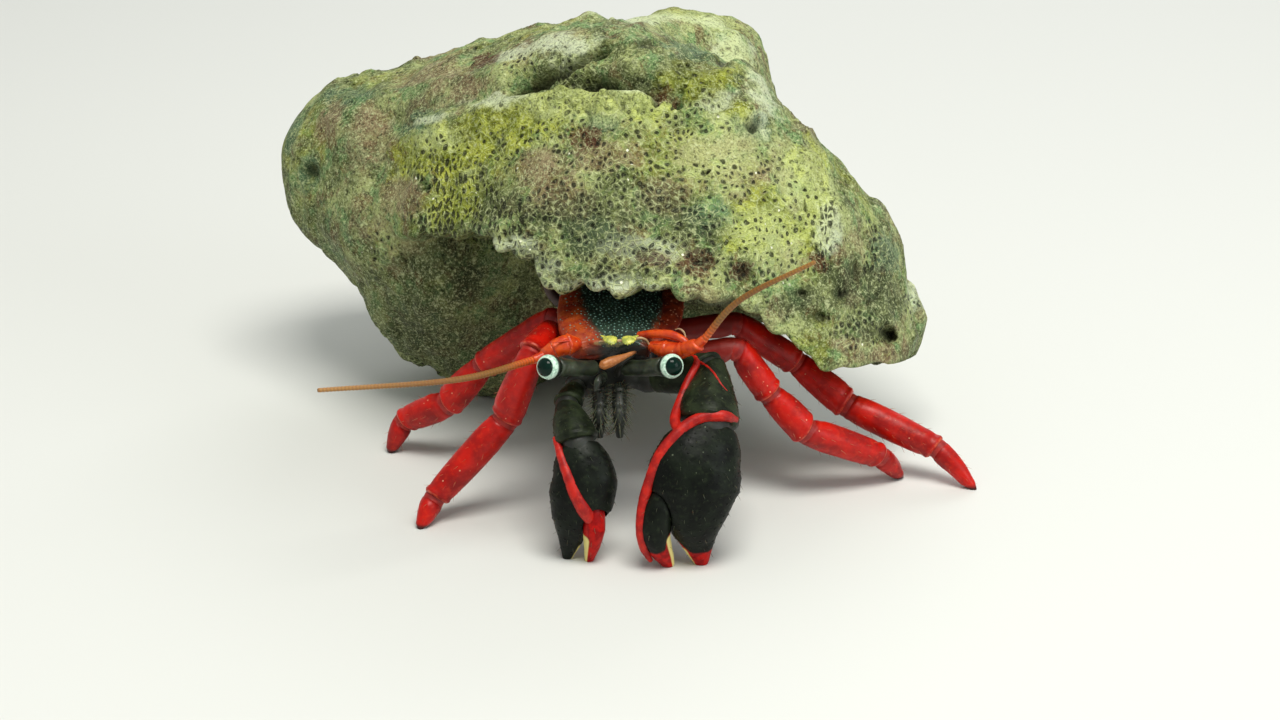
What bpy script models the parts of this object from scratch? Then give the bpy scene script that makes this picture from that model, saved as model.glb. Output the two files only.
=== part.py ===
"""Red-leg hermit crab in an encrusted snail shell, life size, standing on the floor."""
import math

import bmesh
import bpy
import numpy as np
from mathutils import Matrix, Vector

for old in list(bpy.data.objects):
    bpy.data.objects.remove(old, do_unlink=True)

# Units: every size below is in millimetres, scaled to metres at the end
METRE = 0.001
GAP = 0.3
FLOOR = 0.0
MERGE = 0.0001
DOWN = np.array([0.0, 0.0, -1.0])

# Shell axis, from the worn tip to the canal end
TIP = np.array([-25.2, 30.0, 17.2])
CANAL = np.array([19.2, 15.0, 7.4])
LIP_RISE = math.radians(13.0)
GROWTH_PER_TURN = 2.1
CRUST = 1.6
CRUST_AT_TIP = 0.9
SHELL_DROP = 0.55
SHELL_SIDES = 56
SHELL_RINGS = 40

# Outer radius of the last turn at the lip, along the axis from the tip
LIP_ALONG = [9.0, 11.0, 14.0, 19.0, 25.0, 30.0, 35.0, 40.0, 44.0, 47.0, 49.0]
LIP_RADIUS = [0.0, 7.6, 10.4, 14.0, 17.2, 18.2, 16.8, 13.4, 9.6, 6.4, 2.0]
WIDEST_ALONG = 30.0
CANAL_FADE_END = 300.0
CANAL_FADE = 110.0
CANAL_SHARE = 0.62

# How far the lip runs on past its mean line, in degrees, along the axis
SEAM_ALONG = [0.0, 14.0, 17.7, 21.0, 23.0, 26.0, 29.5, 32.6, 35.5, 39.0, 43.5, 48.0]
SEAM_TURN = [14.0, 12.0, 4.0, 0.6, 4.3, 6.8, 2.6, 0.0, -2.0, -1.7, 10.0, 10.0]
SCALLOP_TURN = 1.2
SCALLOP_RATE = 1.45
SCALLOP_PHASE = 0.6

# Swellings and grooves of the crust: degrees back from the lip, their spread, place along the axis,
# its spread, height
LUMPS = [
    (50, 14, 28, 14, 1.9),
    (108, 19, 28.8, 5.5, 2.3),
    (79, 11, 30, 9, -1.3),
    (255, 55, 17, 9, 1.3),
    (108, 26, 20, 5, -1.5),
    (100, 28, 35, 4, -1.3),
    (95, 40, 44.5, 3.5, 2.5),
    (165, 18, 26, 8, 1.5),
    (225, 16, 21, 7, 0.9),
]
TURN_BLEND = 0.9
INNER_EDGE = math.radians(356.0)
FIRST_RING = 0.45
LAST_RING = 0.12

# Section of the hollow at the lip: along the axis, out from the axis
HOLLOW = [(16.6, 10.9), (18.0, 12.3), (21.0, 14.2), (25.5, 16.3), (30.0, 16.9), (34.5, 15.5),
          (38.5, 12.4), (41.5, 8.8), (42.6, 5.8), (41.0, 4.2), (36.0, 3.6), (30.0, 3.6),
          (26.0, 4.0), (23.0, 5.4), (20.5, 7.4), (18.2, 9.4)]
HOLLOW_START = math.radians(27.0)
HOLLOW_END = math.radians(-235.0)
HOLLOW_RINGS = 26
HOLLOW_END_SHRINK = [0.35, 0.75, 0.92, 1.0]

AXIS_LENGTH = float(np.linalg.norm(CANAL - TIP))
AXIS = (CANAL - TIP) / AXIS_LENGTH
LIP_MEAN = np.array([0.0, -math.cos(LIP_RISE), math.sin(LIP_RISE)])
LIP_SIDE = LIP_MEAN - (LIP_MEAN @ AXIS) * AXIS
LIP_SIDE = LIP_SIDE / np.linalg.norm(LIP_SIDE)
GROWTH_SIDE = np.cross(AXIS, LIP_SIDE)

# Body line of the crab
MID_X = -1.9

# Rounded ends of each tapering piece: distance in widths, share of the width
END_ROUNDING = [(0.0, 0.76), (0.14, 0.93), (0.45, 1.0)]
DOME_ANGLES = (0.0, 25.0, 45.0, 62.0, 78.0)
LINE_STEPS = 8
CUT_REACH = 2.4

# Leg joints from the hip outwards, last point on the floor
LEGS = {
    "leg_3_right": [(-4.0, 8.0, 10.2), (-5.76, 8.6, 11.1), (-10.48, 10.5, 7.03), (-12.92, 11.0, 4.13),
                    (-16.07, 12.5, 2.17), (-17.0, 12.19, 0.0)],
    "leg_2_right": [(-4.0, 5.4, 10.0), (-5.8, 6.0, 11.2), (-6.84, 2.4, 11.2), (-8.65, 2.6, 6.5),
                    (-13.26, 1.4, 1.48), (-14.05, 0.18, 0.0)],
    "leg_3_left": [(0.4, 8.0, 10.2), (6.3, 8.6, 10.8), (10.4, 10.5, 7.31), (13.88, 9.5, 4.62),
                   (19.78, 7.6, 2.26), (22.05, 6.16, 0.0)],
    "leg_2_left": [(0.4, 5.2, 9.8), (6.3, 5.0, 10.4), (8.45, 5.4, 7.14), (10.82, 5.0, 4.69),
                   (15.89, 7.0, 2.02), (17.37, 7.91, 0.0)],
}
LEG_PARTS = ["merus", "carpus", "propodus", "dactyl"]
LEG_FRACTIONS = [0.0, 0.25, 0.55, 0.85, 1.0]
LEG_WIDTHS = {
    "merus": [0.82, 0.92, 0.94, 0.96, 0.98],
    "carpus": [0.84, 0.95, 1.04, 1.08, 1.02],
    "propodus": [0.92, 1.0, 0.98, 0.9, 0.84],
    "dactyl": [0.74, 0.72, 0.62, 0.48, 0.36],
}
LEG_SIDES = 10
HIP_WIDTHS = [0.83, 0.84]

# Claws
CLAW_LEFT = [(0.6, 1.9, 9.6), (4.3, 0.6, 10.7), (4.27, -3.0, 8.5)]
CLAW_RIGHT = [(-4.0, 1.6, 9.2), (-4.6, -0.6, 8.9), (-3.85, -3.0, 7.3)]
PALM_LEFT = [(4.27, -3.0, 8.5), (3.4, -4.4, 5.9), (3.4, -5.2, 3.2), (3.8, -5.0, 0.0)]
PALM_RIGHT = [(-3.85, -3.0, 7.3), (-3.5, -4.0, 5.0), (-4.1, -4.4, 2.6), (-4.55, -4.2, 0.0)]
FINGER_LEFT = [(1.5, -5.1, 5.0), (0.95, -5.7, 2.6), (1.75, -5.2, 0.0)]
FINGER_RIGHT = [(-3.0, -4.5, 4.3), (-2.85, -4.9, 2.3), (-3.2, -4.5, 0.0)]
CLAW_MERUS_WIDTHS = [0.9, 1.05, 1.15, 1.2, 1.15]
CLAW_CARPUS_WIDTHS = [1.1, 1.4, 1.75, 1.95, 1.8]
PALM_FRACTIONS = [0.0, 0.12, 0.3, 0.45, 0.62, 0.8, 1.0]
PALM_WIDTHS = [1.85, 2.45, 2.9, 2.85, 2.1, 1.15, 0.42]
FINGER_FRACTIONS = [0.0, 0.2, 0.45, 0.75, 1.0]
FINGER_WIDTHS = [0.8, 1.02, 1.0, 0.72, 0.4]
PALM_DEPTH = 0.68
RIGHT_CLAW_SIZE = 0.72

# Eyes on their stalks
EYE_RIGHT = (-5.64, -1.4, 11.8)
EYE_LEFT = (1.92, -1.4, 11.86)
EYE_RADIUS = 0.78
EYE_BASE = 0.7
EYE_BACK = 0.35
EYE_TURN = 0.12
EYE_LOOK = (-0.93, 0.34)
STALK_BASE_RIGHT = (-2.85, 0.75, 10.85)
STALK_BASE_LEFT = (-0.95, 0.75, 10.85)
STALK_BEND = np.array([0.0, -0.15, 0.0])
STALK_WIDTHS = [0.5, 0.52, 0.6, 0.68]

# Mouth limbs, hanging below the head: distance back and height
MOUTH_ASIDE = 0.62
MOUTH_PATH = [(0.98, 9.4), (-0.3, 9.3), (-1.2, 8.5), (-1.3, 7.0)]
MOUTH_WIDTHS = [0.46, 0.46, 0.42, 0.28]

# Pair of small plates over the stalk bases: across, reach forwards
PLATE_STATIONS = [(-2.75, 0.2), (-2.3, 0.6), (-1.85, 0.85), (-1.25, 0.5), (-0.65, 0.85), (-0.2, 0.6), (0.25, 0.2)]
PLATE_BACK = 0.92
PLATE_HEIGHT = 12.5
PLATE_HALF = 0.26
PLATE_SIDES = 12

# Shield stations: distance back, top height, half width
SHIELD = [(1.45, 12.55, 2.5), (2.4, 12.9, 2.95), (4.0, 13.15, 3.3), (6.0, 13.45, 3.45), (8.0, 13.9, 3.3),
          (9.6, 14.3, 2.8)]
SHIELD_THICK = 1.45
SHIELD_EDGE = 0.22
SHIELD_SIDES = 22
SHIELD_POWERS = (0.75, 0.35)
RING_MIDDLE = 0.42
THORAX_WIDTHS = [1.7, 2.2, 2.6, 2.75, 2.6, 2.2]
THORAX_BOTTOMS = [9.3, 8.3, 7.9, 8.0, 8.6, 9.8]
THORAX_FRONT = (1.3, 8.9, 10.85, 1.4)
THORAX_START = 1.9
THORAX_SPAN = 0.97
THORAX_SIDES = 16
HIP_INSET = 0.4
HIP_DROP = 0.5
CLAW_BASE = 0.9
CLAW_BASE_BACK = 1.6

# Two small pairs of legs inside the aperture, left side: path, half thicknesses
SMALL_LEGS = {
    "leg_4": ([(2.45, 9.95, 11.2), (3.9, 11.3, 11.8), (4.5, 11.2, 13.6)], [0.42, 0.45, 0.34]),
    "leg_5": ([(2.75, 9.3, 12.1), (3.3, 10.8, 13.6), (3.5, 10.0, 15.2)], [0.36, 0.34, 0.28]),
}

# Soft hind body inside the shell: first points, then turns back along the hollow, and radii
PLEON_START = [(-1.9, 10.15, 12.1), (-1.75, 12.2, 13.9)]
PLEON_TURNS = [-36.0, -66.0, -100.0, -135.0, -168.0, -196.0]
PLEON_CENTRE = (29.3, 7.7)
PLEON_RADII = [1.55, 2.1, 2.7, 2.9, 2.8, 2.4, 1.8, 1.0]

# Colours
SHELL_COLOUR = (0.42, 0.45, 0.33)
RED = (0.62, 0.03, 0.02)
DARK = (0.03, 0.045, 0.035)
ORANGE = (0.72, 0.17, 0.03)
SHIELD_COLOUR = (0.05, 0.11, 0.11)
EYE_COLOUR = (0.75, 0.85, 0.78)
SOFT_COLOUR = (0.5, 0.33, 0.27)
ACICLE_COLOUR = (0.6, 0.62, 0.2)

# Feelers: path, places along it, half thicknesses, colour, sides, rings
BASE_WIDTHS = [0.6, 0.55, 0.42]
FLAGELLUM_WIDTHS = [0.32, 0.2]
FEELERS = {
    "antenna_base_left": ([(1.5, 0.95, 12.35), (2.62, 0.3, 12.5), (3.7, -0.6, 13.0)],
                          [0.0, 0.5, 1.0], BASE_WIDTHS, ORANGE, 10, 7),
    "antenna_base_right": ([(-4.7, 1.1, 12.4), (-5.35, 0.95, 12.2), (-6.2, 0.7, 11.6)],
                           [0.0, 0.5, 1.0], BASE_WIDTHS, ORANGE, 10, 7),
    "antenna_left": ([(3.85, -0.68, 13.2), (6.14, -1.5, 16.28), (10.54, -3.5, 19.48)],
                     [0.0, 1.0], FLAGELLUM_WIDTHS, ORANGE, 8, 10),
    "antenna_right": ([(-6.5, 0.5, 11.55), (-11.2, -4.2, 12.1), (-19.07, -9.0, 13.4)],
                      [0.0, 1.0], FLAGELLUM_WIDTHS, ORANGE, 8, 12),
    "antennule_left": ([(-1.5, 0.98, 10.3), (-1.5, 0.0, 10.9), (-0.5, -0.8, 12.0), (-1.1, -1.2, 12.35),
                        (-2.2, -1.5, 12.1)],
                       [0.0, 0.6, 0.8, 1.0], [0.26, 0.27, 0.36, 0.2], ORANGE, 8, 8),
    "antennule_right": ([(-2.3, 0.98, 10.3), (-2.3, 0.0, 10.45), (-2.5, -0.9, 10.9), (-2.8, -1.5, 10.2)],
                        [0.0, 0.5, 1.0], [0.26, 0.27, 0.22], DARK, 8, 6),
}
BASE_CUTS = {"antenna_base_left": (0.5, -0.2, 0.8), "antenna_base_right": (-0.8, -0.5, 0.1)}


def material(name, colour, rough):
    shade = bpy.data.materials.new(name)
    shade.use_nodes = True
    shader = shade.node_tree.nodes["Principled BSDF"]
    shader.inputs["Base Color"].default_value = (*colour, 1.0)
    shader.inputs["Roughness"].default_value = rough
    return shade


def add_mesh(name, points, faces, colour, rough):
    mesh = bpy.data.meshes.new(name)
    mesh.from_pydata([tuple(p) for p in points], [], faces)
    work = bmesh.new()
    work.from_mesh(mesh)
    bmesh.ops.recalc_face_normals(work, faces=work.faces)
    if work.calc_volume(signed=True) < 0:
        bmesh.ops.reverse_faces(work, faces=work.faces)
    work.to_mesh(mesh)
    work.free()
    thing = bpy.data.objects.new(name, mesh)
    bpy.context.scene.collection.objects.link(thing)
    mesh.materials.append(material(name, colour, rough))
    return thing


def loft(name, rings, colour, rough, start=None, end=None):
    sides = len(rings[0])
    points = []
    faces = []
    for ring in rings:
        points.extend(ring)
    for level in range(len(rings) - 1):
        low = level * sides
        high = low + sides
        for side in range(sides):
            after = (side + 1) % sides
            faces.append((low + side, low + after, high + after, high + side))
    first = len(points)
    points.append(start if start is not None else np.mean(rings[0], axis=0))
    points.append(end if end is not None else np.mean(rings[-1], axis=0))
    top = (len(rings) - 1) * sides
    for side in range(sides):
        after = (side + 1) % sides
        faces.append((first, after, side))
        faces.append((first + 1, top + side, top + after))
    return add_mesh(name, points, faces, colour, rough)


# Shell outside

def turn_scale(turned):
    return GROWTH_PER_TURN ** (-turned / (2 * math.pi))


def blend_max(values, soft):
    best = values[0]
    for value in values[1:]:
        share = np.clip(0.5 + 0.5 * (best - value) / soft, 0, 1)
        best = value + (best - value) * share + soft * share * (1 - share)
    return best


def bump(degrees, along, centre, wide, place, length, height):
    return height * np.exp(-(((degrees - centre) / wide) ** 2)) * np.exp(-(((along - place) / length) ** 2))


def shell_radius(back, along):
    turns = []
    for turn in range(5):
        scale = turn_scale(back + 2 * math.pi * turn)
        place = along / scale
        if turn == 0:
            widest = WIDEST_ALONG * scale
            drawn = WIDEST_ALONG + (along - widest) * (AXIS_LENGTH - WIDEST_ALONG) / (AXIS_LENGTH - widest)
            hold = CANAL_SHARE * np.clip((CANAL_FADE_END - np.degrees(back)) / CANAL_FADE, 0.0, 1.0)
            place = np.where(along > widest, place + (drawn - place) * hold, place)
        turns.append(scale * np.interp(place, LIP_ALONG, LIP_RADIUS, left=0.0, right=0.0))
    radius = blend_max(turns, TURN_BLEND)
    degrees = np.degrees(back)
    ends = np.sqrt(np.clip(1 - (np.maximum(0, 2.5 - along) / 2.5) ** 2, 0, 1))
    ends = ends * np.sqrt(np.clip((AXIS_LENGTH - along) / 3.0, 0, 1))
    crust = CRUST * ends * (1 + CRUST_AT_TIP * np.exp(-(((along - 3) / 7) ** 2)))
    lumps = sum(bump(degrees, along, *lump) for lump in LUMPS)
    ripple = 0.22 * np.sin(along * 0.9 + 3.1 * back) + 0.18 * np.sin(5.0 * back - 0.55 * along + 1.3)
    return radius + crust + lumps + ripple * ends


def seam_turn(along):
    wave = SCALLOP_TURN * np.sin(SCALLOP_RATE * along + SCALLOP_PHASE)
    return np.radians(np.interp(along, SEAM_ALONG, SEAM_TURN) + wave)


def shell_point(turned, along, radius):
    side = math.cos(turned) * LIP_SIDE + math.sin(turned) * GROWTH_SIDE
    spot = TIP + along * AXIS + radius * side
    spot[2] = spot[2] - SHELL_DROP
    return spot


def shell_rings():
    rings = []
    backs = np.linspace(0.0, INNER_EDGE, SHELL_SIDES)
    alongs = np.linspace(FIRST_RING, AXIS_LENGTH - LAST_RING, SHELL_RINGS)
    for along in alongs:
        ring = []
        for back in backs:
            radius = float(shell_radius(np.array(back), np.array(along)))
            spot = shell_point(float(seam_turn(along)) - back, along, radius)
            spot[2] = max(spot[2], FLOOR)
            ring.append(spot)
        rings.append(ring)
    return rings


def smooth_closed(section, passes):
    for _ in range(passes):
        finer = []
        for place, spot in enumerate(section):
            after = section[(place + 1) % len(section)]
            finer.append((0.75 * spot[0] + 0.25 * after[0], 0.75 * spot[1] + 0.25 * after[1]))
            finer.append((0.25 * spot[0] + 0.75 * after[0], 0.25 * spot[1] + 0.75 * after[1]))
        section = finer
    return section


def hollow_rings():
    section = smooth_closed(HOLLOW, 1)
    centre = np.mean(np.array(section), axis=0)
    rings = []
    for step, turned in enumerate(np.linspace(HOLLOW_START, HOLLOW_END, HOLLOW_RINGS)):
        scale = GROWTH_PER_TURN ** (turned / (2 * math.pi))
        left = HOLLOW_RINGS - 1 - step
        shrink = HOLLOW_END_SHRINK[min(left, len(HOLLOW_END_SHRINK) - 1)]
        ring = []
        for along, out in section:
            along = centre[0] + (along - centre[0]) * shrink
            out = centre[1] + (out - centre[1]) * shrink
            ring.append(shell_point(turned, along * scale, out * scale))
        rings.append(ring)
    return rings


def apply_boolean(target, operation, tools):
    group = bpy.data.collections.new("tools")
    bpy.context.scene.collection.children.link(group)
    for tool in tools:
        group.objects.link(tool)
    join = target.modifiers.new("join", "BOOLEAN")
    join.operation = operation
    join.solver = "EXACT"
    join.operand_type = "COLLECTION"
    join.collection = group
    graph = bpy.context.evaluated_depsgraph_get()
    result = bpy.data.meshes.new_from_object(target.evaluated_get(graph))
    target.modifiers.remove(join)
    target.data = result
    for tool in tools:
        bpy.data.objects.remove(tool, do_unlink=True)
    bpy.data.collections.remove(group)
    return keep_largest(target)


def keep_largest(thing):
    work = bmesh.new()
    work.from_mesh(thing.data)
    bmesh.ops.remove_doubles(work, verts=work.verts, dist=MERGE)
    left = set(work.faces)
    groups = []
    while left:
        group = set()
        front = [next(iter(left))]
        while front:
            face = front.pop()
            if face in group:
                continue
            group.add(face)
            for edge in face.edges:
                front.extend(other for other in edge.link_faces if other not in group)
        left -= group
        groups.append(group)
    groups.sort(key=lambda g: sum(face.calc_area() for face in g), reverse=True)
    spare = [face for group in groups[1:] for face in group]
    if spare:
        bmesh.ops.delete(work, geom=spare, context="FACES")
    loose = [vert for vert in work.verts if not vert.link_faces]
    bmesh.ops.delete(work, geom=loose, context="VERTS")
    work.to_mesh(thing.data)
    work.free()
    return thing


def build_shell():
    start = shell_point(0.0, 0.0, 0.0)
    end = shell_point(0.0, AXIS_LENGTH, 0.0)
    shell = loft("shell", shell_rings(), SHELL_COLOUR, 0.8, start, end)
    hollow = loft("hollow", hollow_rings(), SHELL_COLOUR, 0.8)
    return apply_boolean(shell, "DIFFERENCE", [hollow])


# Tapering pieces along a curved line

def curve_through(points, steps):
    points = [np.array(p, float) for p in points]
    if len(points) == 2:
        return [points[0] + (points[1] - points[0]) * k / steps for k in range(steps + 1)]
    ends = [2 * points[0] - points[1]] + points + [2 * points[-1] - points[-2]]
    line = []
    for span in range(len(points) - 1):
        a, b, c, d = ends[span:span + 4]
        for step in range(steps):
            u = step / steps
            line.append(0.5 * (2 * b + (c - a) * u + (2 * a - 5 * b + 4 * c - d) * u * u
                               + (3 * b - a - 3 * c + d) * u ** 3))
    line.append(points[-1])
    return line


def limb(name, points, fractions, widths, colour, rough, sides=LEG_SIDES, deep=1.0, side=(0, 0, 1),
         start_cut=None, end_cut=None, rings=6, dome=None):
    line = np.array(curve_through(points, LINE_STEPS))
    lengths = np.concatenate([[0.0], np.cumsum(np.linalg.norm(np.diff(line, axis=0), axis=1))])
    total = lengths[-1]
    first = widths[0]
    last = widths[-1]
    stations = [(away * first, share) for away, share in END_ROUNDING]
    inner = END_ROUNDING[-1][0]
    straight_end = total - (inner * last if dome is None else dome)
    inside = np.linspace(inner * first, straight_end, rings + 1)[1:-1]
    stations += [(float(s), 1.0) for s in inside]
    if dome is None:
        stations += [(total - away * last, share) for away, share in reversed(END_ROUNDING)]
    else:
        for angle in DOME_ANGLES:
            reach = dome * math.sin(math.radians(angle))
            stations.append((total - dome + reach, math.cos(math.radians(angle))))
    found = []
    for place, share in stations:
        centre = np.array([np.interp(place, lengths, line[:, k]) for k in range(3)])
        ahead = np.array([np.interp(min(place + 0.2, total), lengths, line[:, k]) for k in range(3)])
        behind = np.array([np.interp(max(place - 0.2, 0.0), lengths, line[:, k]) for k in range(3)])
        along = (ahead - behind) / np.linalg.norm(ahead - behind)
        across = np.cross(along, np.array(side, float))
        across = across / np.linalg.norm(across)
        upward = np.cross(across, along)
        half = share * float(np.interp(place / total, fractions, widths))
        ring = []
        for corner in range(sides):
            angle = 2 * math.pi * corner / sides
            offset = half * (math.cos(angle) * across + math.sin(angle) * upward * deep)
            for cut, away in ((start_cut, place), (end_cut, total - place)):
                if cut is not None:
                    reach = CUT_REACH * max(first if away == place else last, GAP)
                    hold = max(0.0, 1.0 - away / reach)
                    offset = offset - along * (offset @ cut) / (along @ cut) * hold
            ring.append(centre + offset)
        found.append(ring)
    end = line[-1] if dome is not None else None
    return loft(name, found, colour, rough, None, end)


def unit(vector):
    vector = np.array(vector, float)
    return vector / np.linalg.norm(vector)


def chain(names, joints, widths, colours, rough, before, last_cut):
    joints = [np.array(j, float) for j in joints]
    ways = [unit(b - a) for a, b in zip(joints, joints[1:])]
    made = []
    for place, name in enumerate(names):
        way = ways[place]
        start_cut = unit(way + (ways[place - 1] if place else before))
        end_cut = unit(way + ways[place + 1]) if place + 1 < len(names) else last_cut
        start = joints[place] + way * (GAP / 2) / (way @ start_cut)
        end = joints[place + 1]
        if place + 1 < len(names):
            end = end - way * (GAP / 2) / (way @ end_cut)
        made.append(limb(name, [start, end], LEG_FRACTIONS, widths[place], colours[place], rough,
                         start_cut=start_cut, end_cut=end_cut, rings=4))
    return made


def build_legs():
    for leg, joints in LEGS.items():
        before = unit(np.array(joints[1]) - np.array(joints[0]))
        names = [leg + "_" + part for part in LEG_PARTS]
        widths = [LEG_WIDTHS[part] for part in LEG_PARTS]
        chain(names, joints[1:], widths, [RED] * 4, 0.3, before, DOWN)


def build_claw(side, joints, palm, finger, size):
    joints = [np.array(j, float) for j in joints]
    merus_way = unit(joints[1] - joints[0])
    carpus_way = unit(joints[2] - joints[1])
    palm_way = unit(np.array(palm[1]) - np.array(palm[0]))
    knee = unit(merus_way + carpus_way)
    wrist = unit(carpus_way + palm_way)
    half = GAP / 2
    limb("claw_" + side + "_merus", [joints[0] + merus_way * GAP, joints[1] - merus_way * half / (merus_way @ knee)],
         LEG_FRACTIONS, [value * size for value in CLAW_MERUS_WIDTHS], DARK, 0.4, end_cut=knee, rings=4)
    limb("claw_" + side + "_carpus", [joints[1] + carpus_way * half / (carpus_way @ knee),
                                      joints[2] - carpus_way * half / (carpus_way @ wrist)],
         LEG_FRACTIONS, [value * size for value in CLAW_CARPUS_WIDTHS], DARK, 0.4,
         start_cut=knee, end_cut=wrist, rings=4)
    begin = joints[2] + palm_way * half / (palm_way @ wrist)
    hand = limb("claw_" + side + "_palm", [begin] + palm[1:],
                PALM_FRACTIONS, [value * size for value in PALM_WIDTHS],
                DARK, 0.4, sides=16, deep=PALM_DEPTH, side=(0, 1, 0), start_cut=wrist,
                end_cut=DOWN, rings=11)
    widths = [value * size for value in FINGER_WIDTHS]
    grown = [value + GAP for value in widths]
    cutter = limb("cutter", extend(finger), FINGER_FRACTIONS, grown, DARK, 0.4, sides=12,
                  side=(0, 1, 0), rings=6)
    apply_boolean(hand, "DIFFERENCE", [cutter])
    limb("claw_" + side + "_finger", finger, FINGER_FRACTIONS, widths, DARK, 0.35, sides=10,
         side=(0, 1, 0), end_cut=DOWN, rings=7)


def extend(points):
    points = [np.array(p, float) for p in points]
    start = points[0] - unit(points[1] - points[0]) * GAP
    end = points[-1] + unit(points[-1] - points[-2]) * 2 * GAP
    return [start] + points[1:-1] + [end]


def body_ring(back, bottom, top, half, sides, top_power, low_power):
    ring = []
    middle = bottom + (top - bottom) * RING_MIDDLE
    for corner in range(sides):
        angle = 2 * math.pi * corner / sides
        across = math.cos(angle) * half
        rise = math.sin(angle)
        if rise >= 0:
            height = middle + (top - middle) * abs(rise) ** top_power
        else:
            height = middle - (middle - bottom) * abs(rise) ** low_power
        ring.append(np.array([MID_X + across, back, height]))
    return ring


def build_shield():
    rings = []
    for back, top, half in SHIELD:
        rings.append(body_ring(back, top - SHIELD_THICK, top, half, SHIELD_SIDES, *SHIELD_POWERS))
    for place, edge, low in ((0, -SHIELD_EDGE, 0), (-1, SHIELD_EDGE, len(rings) + 1)):
        back, top, half = SHIELD[place]
        rim = body_ring(back + edge, top - SHIELD_THICK + SHIELD_EDGE, top - SHIELD_EDGE, half - SHIELD_EDGE,
                        SHIELD_SIDES, *SHIELD_POWERS)
        rings.insert(low, rim)
    return loft("shield", rings, SHIELD_COLOUR, 0.45)


def build_thorax():
    front = body_ring(*THORAX_FRONT, THORAX_SIDES, 0.6, 0.8)
    rings = [front]
    for (back, top, _), width, bottom in zip(SHIELD, THORAX_WIDTHS, THORAX_BOTTOMS):
        place = THORAX_START + (back - SHIELD[0][0]) * THORAX_SPAN
        rings.append(body_ring(place, bottom, top - SHIELD_THICK - GAP, width, THORAX_SIDES, 0.5, 0.8))
    thorax = loft("thorax", rings, DARK, 0.5)
    stubs = []
    for leg, joints in LEGS.items():
        hip = np.array(joints[0], float)
        knee = np.array(joints[1], float)
        way = unit(knee - hip)
        cut = unit(way + unit(np.array(joints[2]) - knee))
        end = knee - way * (GAP / 2) / (way @ cut)
        inner = np.array([MID_X + HIP_INSET * (hip[0] - MID_X), hip[1], hip[2] - HIP_DROP])
        stubs.append(limb(leg + "_base", [inner, hip, end], [0.0, 1.0], HIP_WIDTHS, DARK, 0.5,
                          end_cut=cut, rings=6))
    for joints in (CLAW_LEFT, CLAW_RIGHT):
        hip = np.array(joints[0], float)
        inner = np.array([MID_X, hip[1] + CLAW_BASE_BACK, hip[2]])
        stubs.append(limb("claw_base", [inner, hip], [0.0, 1.0], [CLAW_BASE, CLAW_BASE], DARK, 0.5,
                          end_cut=unit(np.array(joints[1]) - hip), rings=3))
    return apply_boolean(thorax, "UNION", stubs)


def build_small_legs():
    for side, sign in (("left", 1.0), ("right", -1.0)):
        for name, (path, widths) in SMALL_LEGS.items():
            points = [(MID_X + sign * across, back, up) for across, back, up in path]
            limb(name + "_" + side, points, [0.0, 0.5, 1.0], widths, SOFT_COLOUR, 0.5, sides=8, side=(1, 0, 0))


def build_eyes():
    for side, eye, base, turn in (("left", EYE_LEFT, STALK_BASE_LEFT, EYE_TURN),
                                  ("right", EYE_RIGHT, STALK_BASE_RIGHT, -EYE_TURN)):
        eye = np.array(eye)
        base = np.array(base)
        look = unit((turn, *EYE_LOOK))
        neck = eye - look * (EYE_BACK + GAP)
        middle = 0.55 * base + 0.45 * neck + STALK_BEND
        limb("eyestalk_" + side, [base, middle, neck], [0.0, 0.5, 0.85, 1.0], STALK_WIDTHS, DARK, 0.4,
             sides=14, end_cut=look)
        limb("eye_" + side, [eye - look * EYE_BACK, eye + look * EYE_RADIUS], [0.0, 0.3, 1.0],
             [EYE_BASE, EYE_RADIUS, EYE_RADIUS], EYE_COLOUR, 0.15, sides=18, rings=1, dome=EYE_RADIUS)


def build_feelers():
    for name, (path, fractions, widths, colour, sides, rings) in FEELERS.items():
        cut = BASE_CUTS.get(name)
        limb(name, path, fractions, widths, colour, 0.4, sides=sides, rings=rings,
             end_cut=None if cut is None else unit(cut))


def build_mouth():
    for side, sign in (("left", 1.0), ("right", -1.0)):
        points = [(MID_X + sign * MOUTH_ASIDE, back, up) for back, up in MOUTH_PATH]
        limb("maxilliped_" + side, points, [0.0, 0.3, 0.7, 1.0], MOUTH_WIDTHS, DARK, 0.5,
             side=(1, 0, 0), rings=7)


def build_ocular_plate():
    rings = []
    for across, reach in PLATE_STATIONS:
        ring = []
        for corner in range(PLATE_SIDES):
            angle = 2 * math.pi * corner / PLATE_SIDES
            back = PLATE_BACK - 0.45 * reach + 0.5 * reach * math.cos(angle)
            up = PLATE_HEIGHT + PLATE_HALF * math.sin(angle) * min(1.0, 0.5 + reach)
            ring.append(np.array([across, back, up]))
        rings.append(ring)
    loft("ocular_plate", rings, ACICLE_COLOUR, 0.4)


def build_pleon():
    line = [np.array(p) for p in PLEON_START]
    for turned in PLEON_TURNS:
        scale = turn_scale(-math.radians(turned))
        line.append(shell_point(math.radians(turned), PLEON_CENTRE[0] * scale, PLEON_CENTRE[1] * scale))
    lengths = np.cumsum([0.0] + [float(np.linalg.norm(b - a)) for a, b in zip(line, line[1:])])
    limb("pleon", line, list(lengths / lengths[-1]), PLEON_RADII, SOFT_COLOUR, 0.5, sides=14, rings=16,
         dome=0.8, side=(1, 0, 0), start_cut=np.array([0.0, 1.0, 0.0]))


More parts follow.
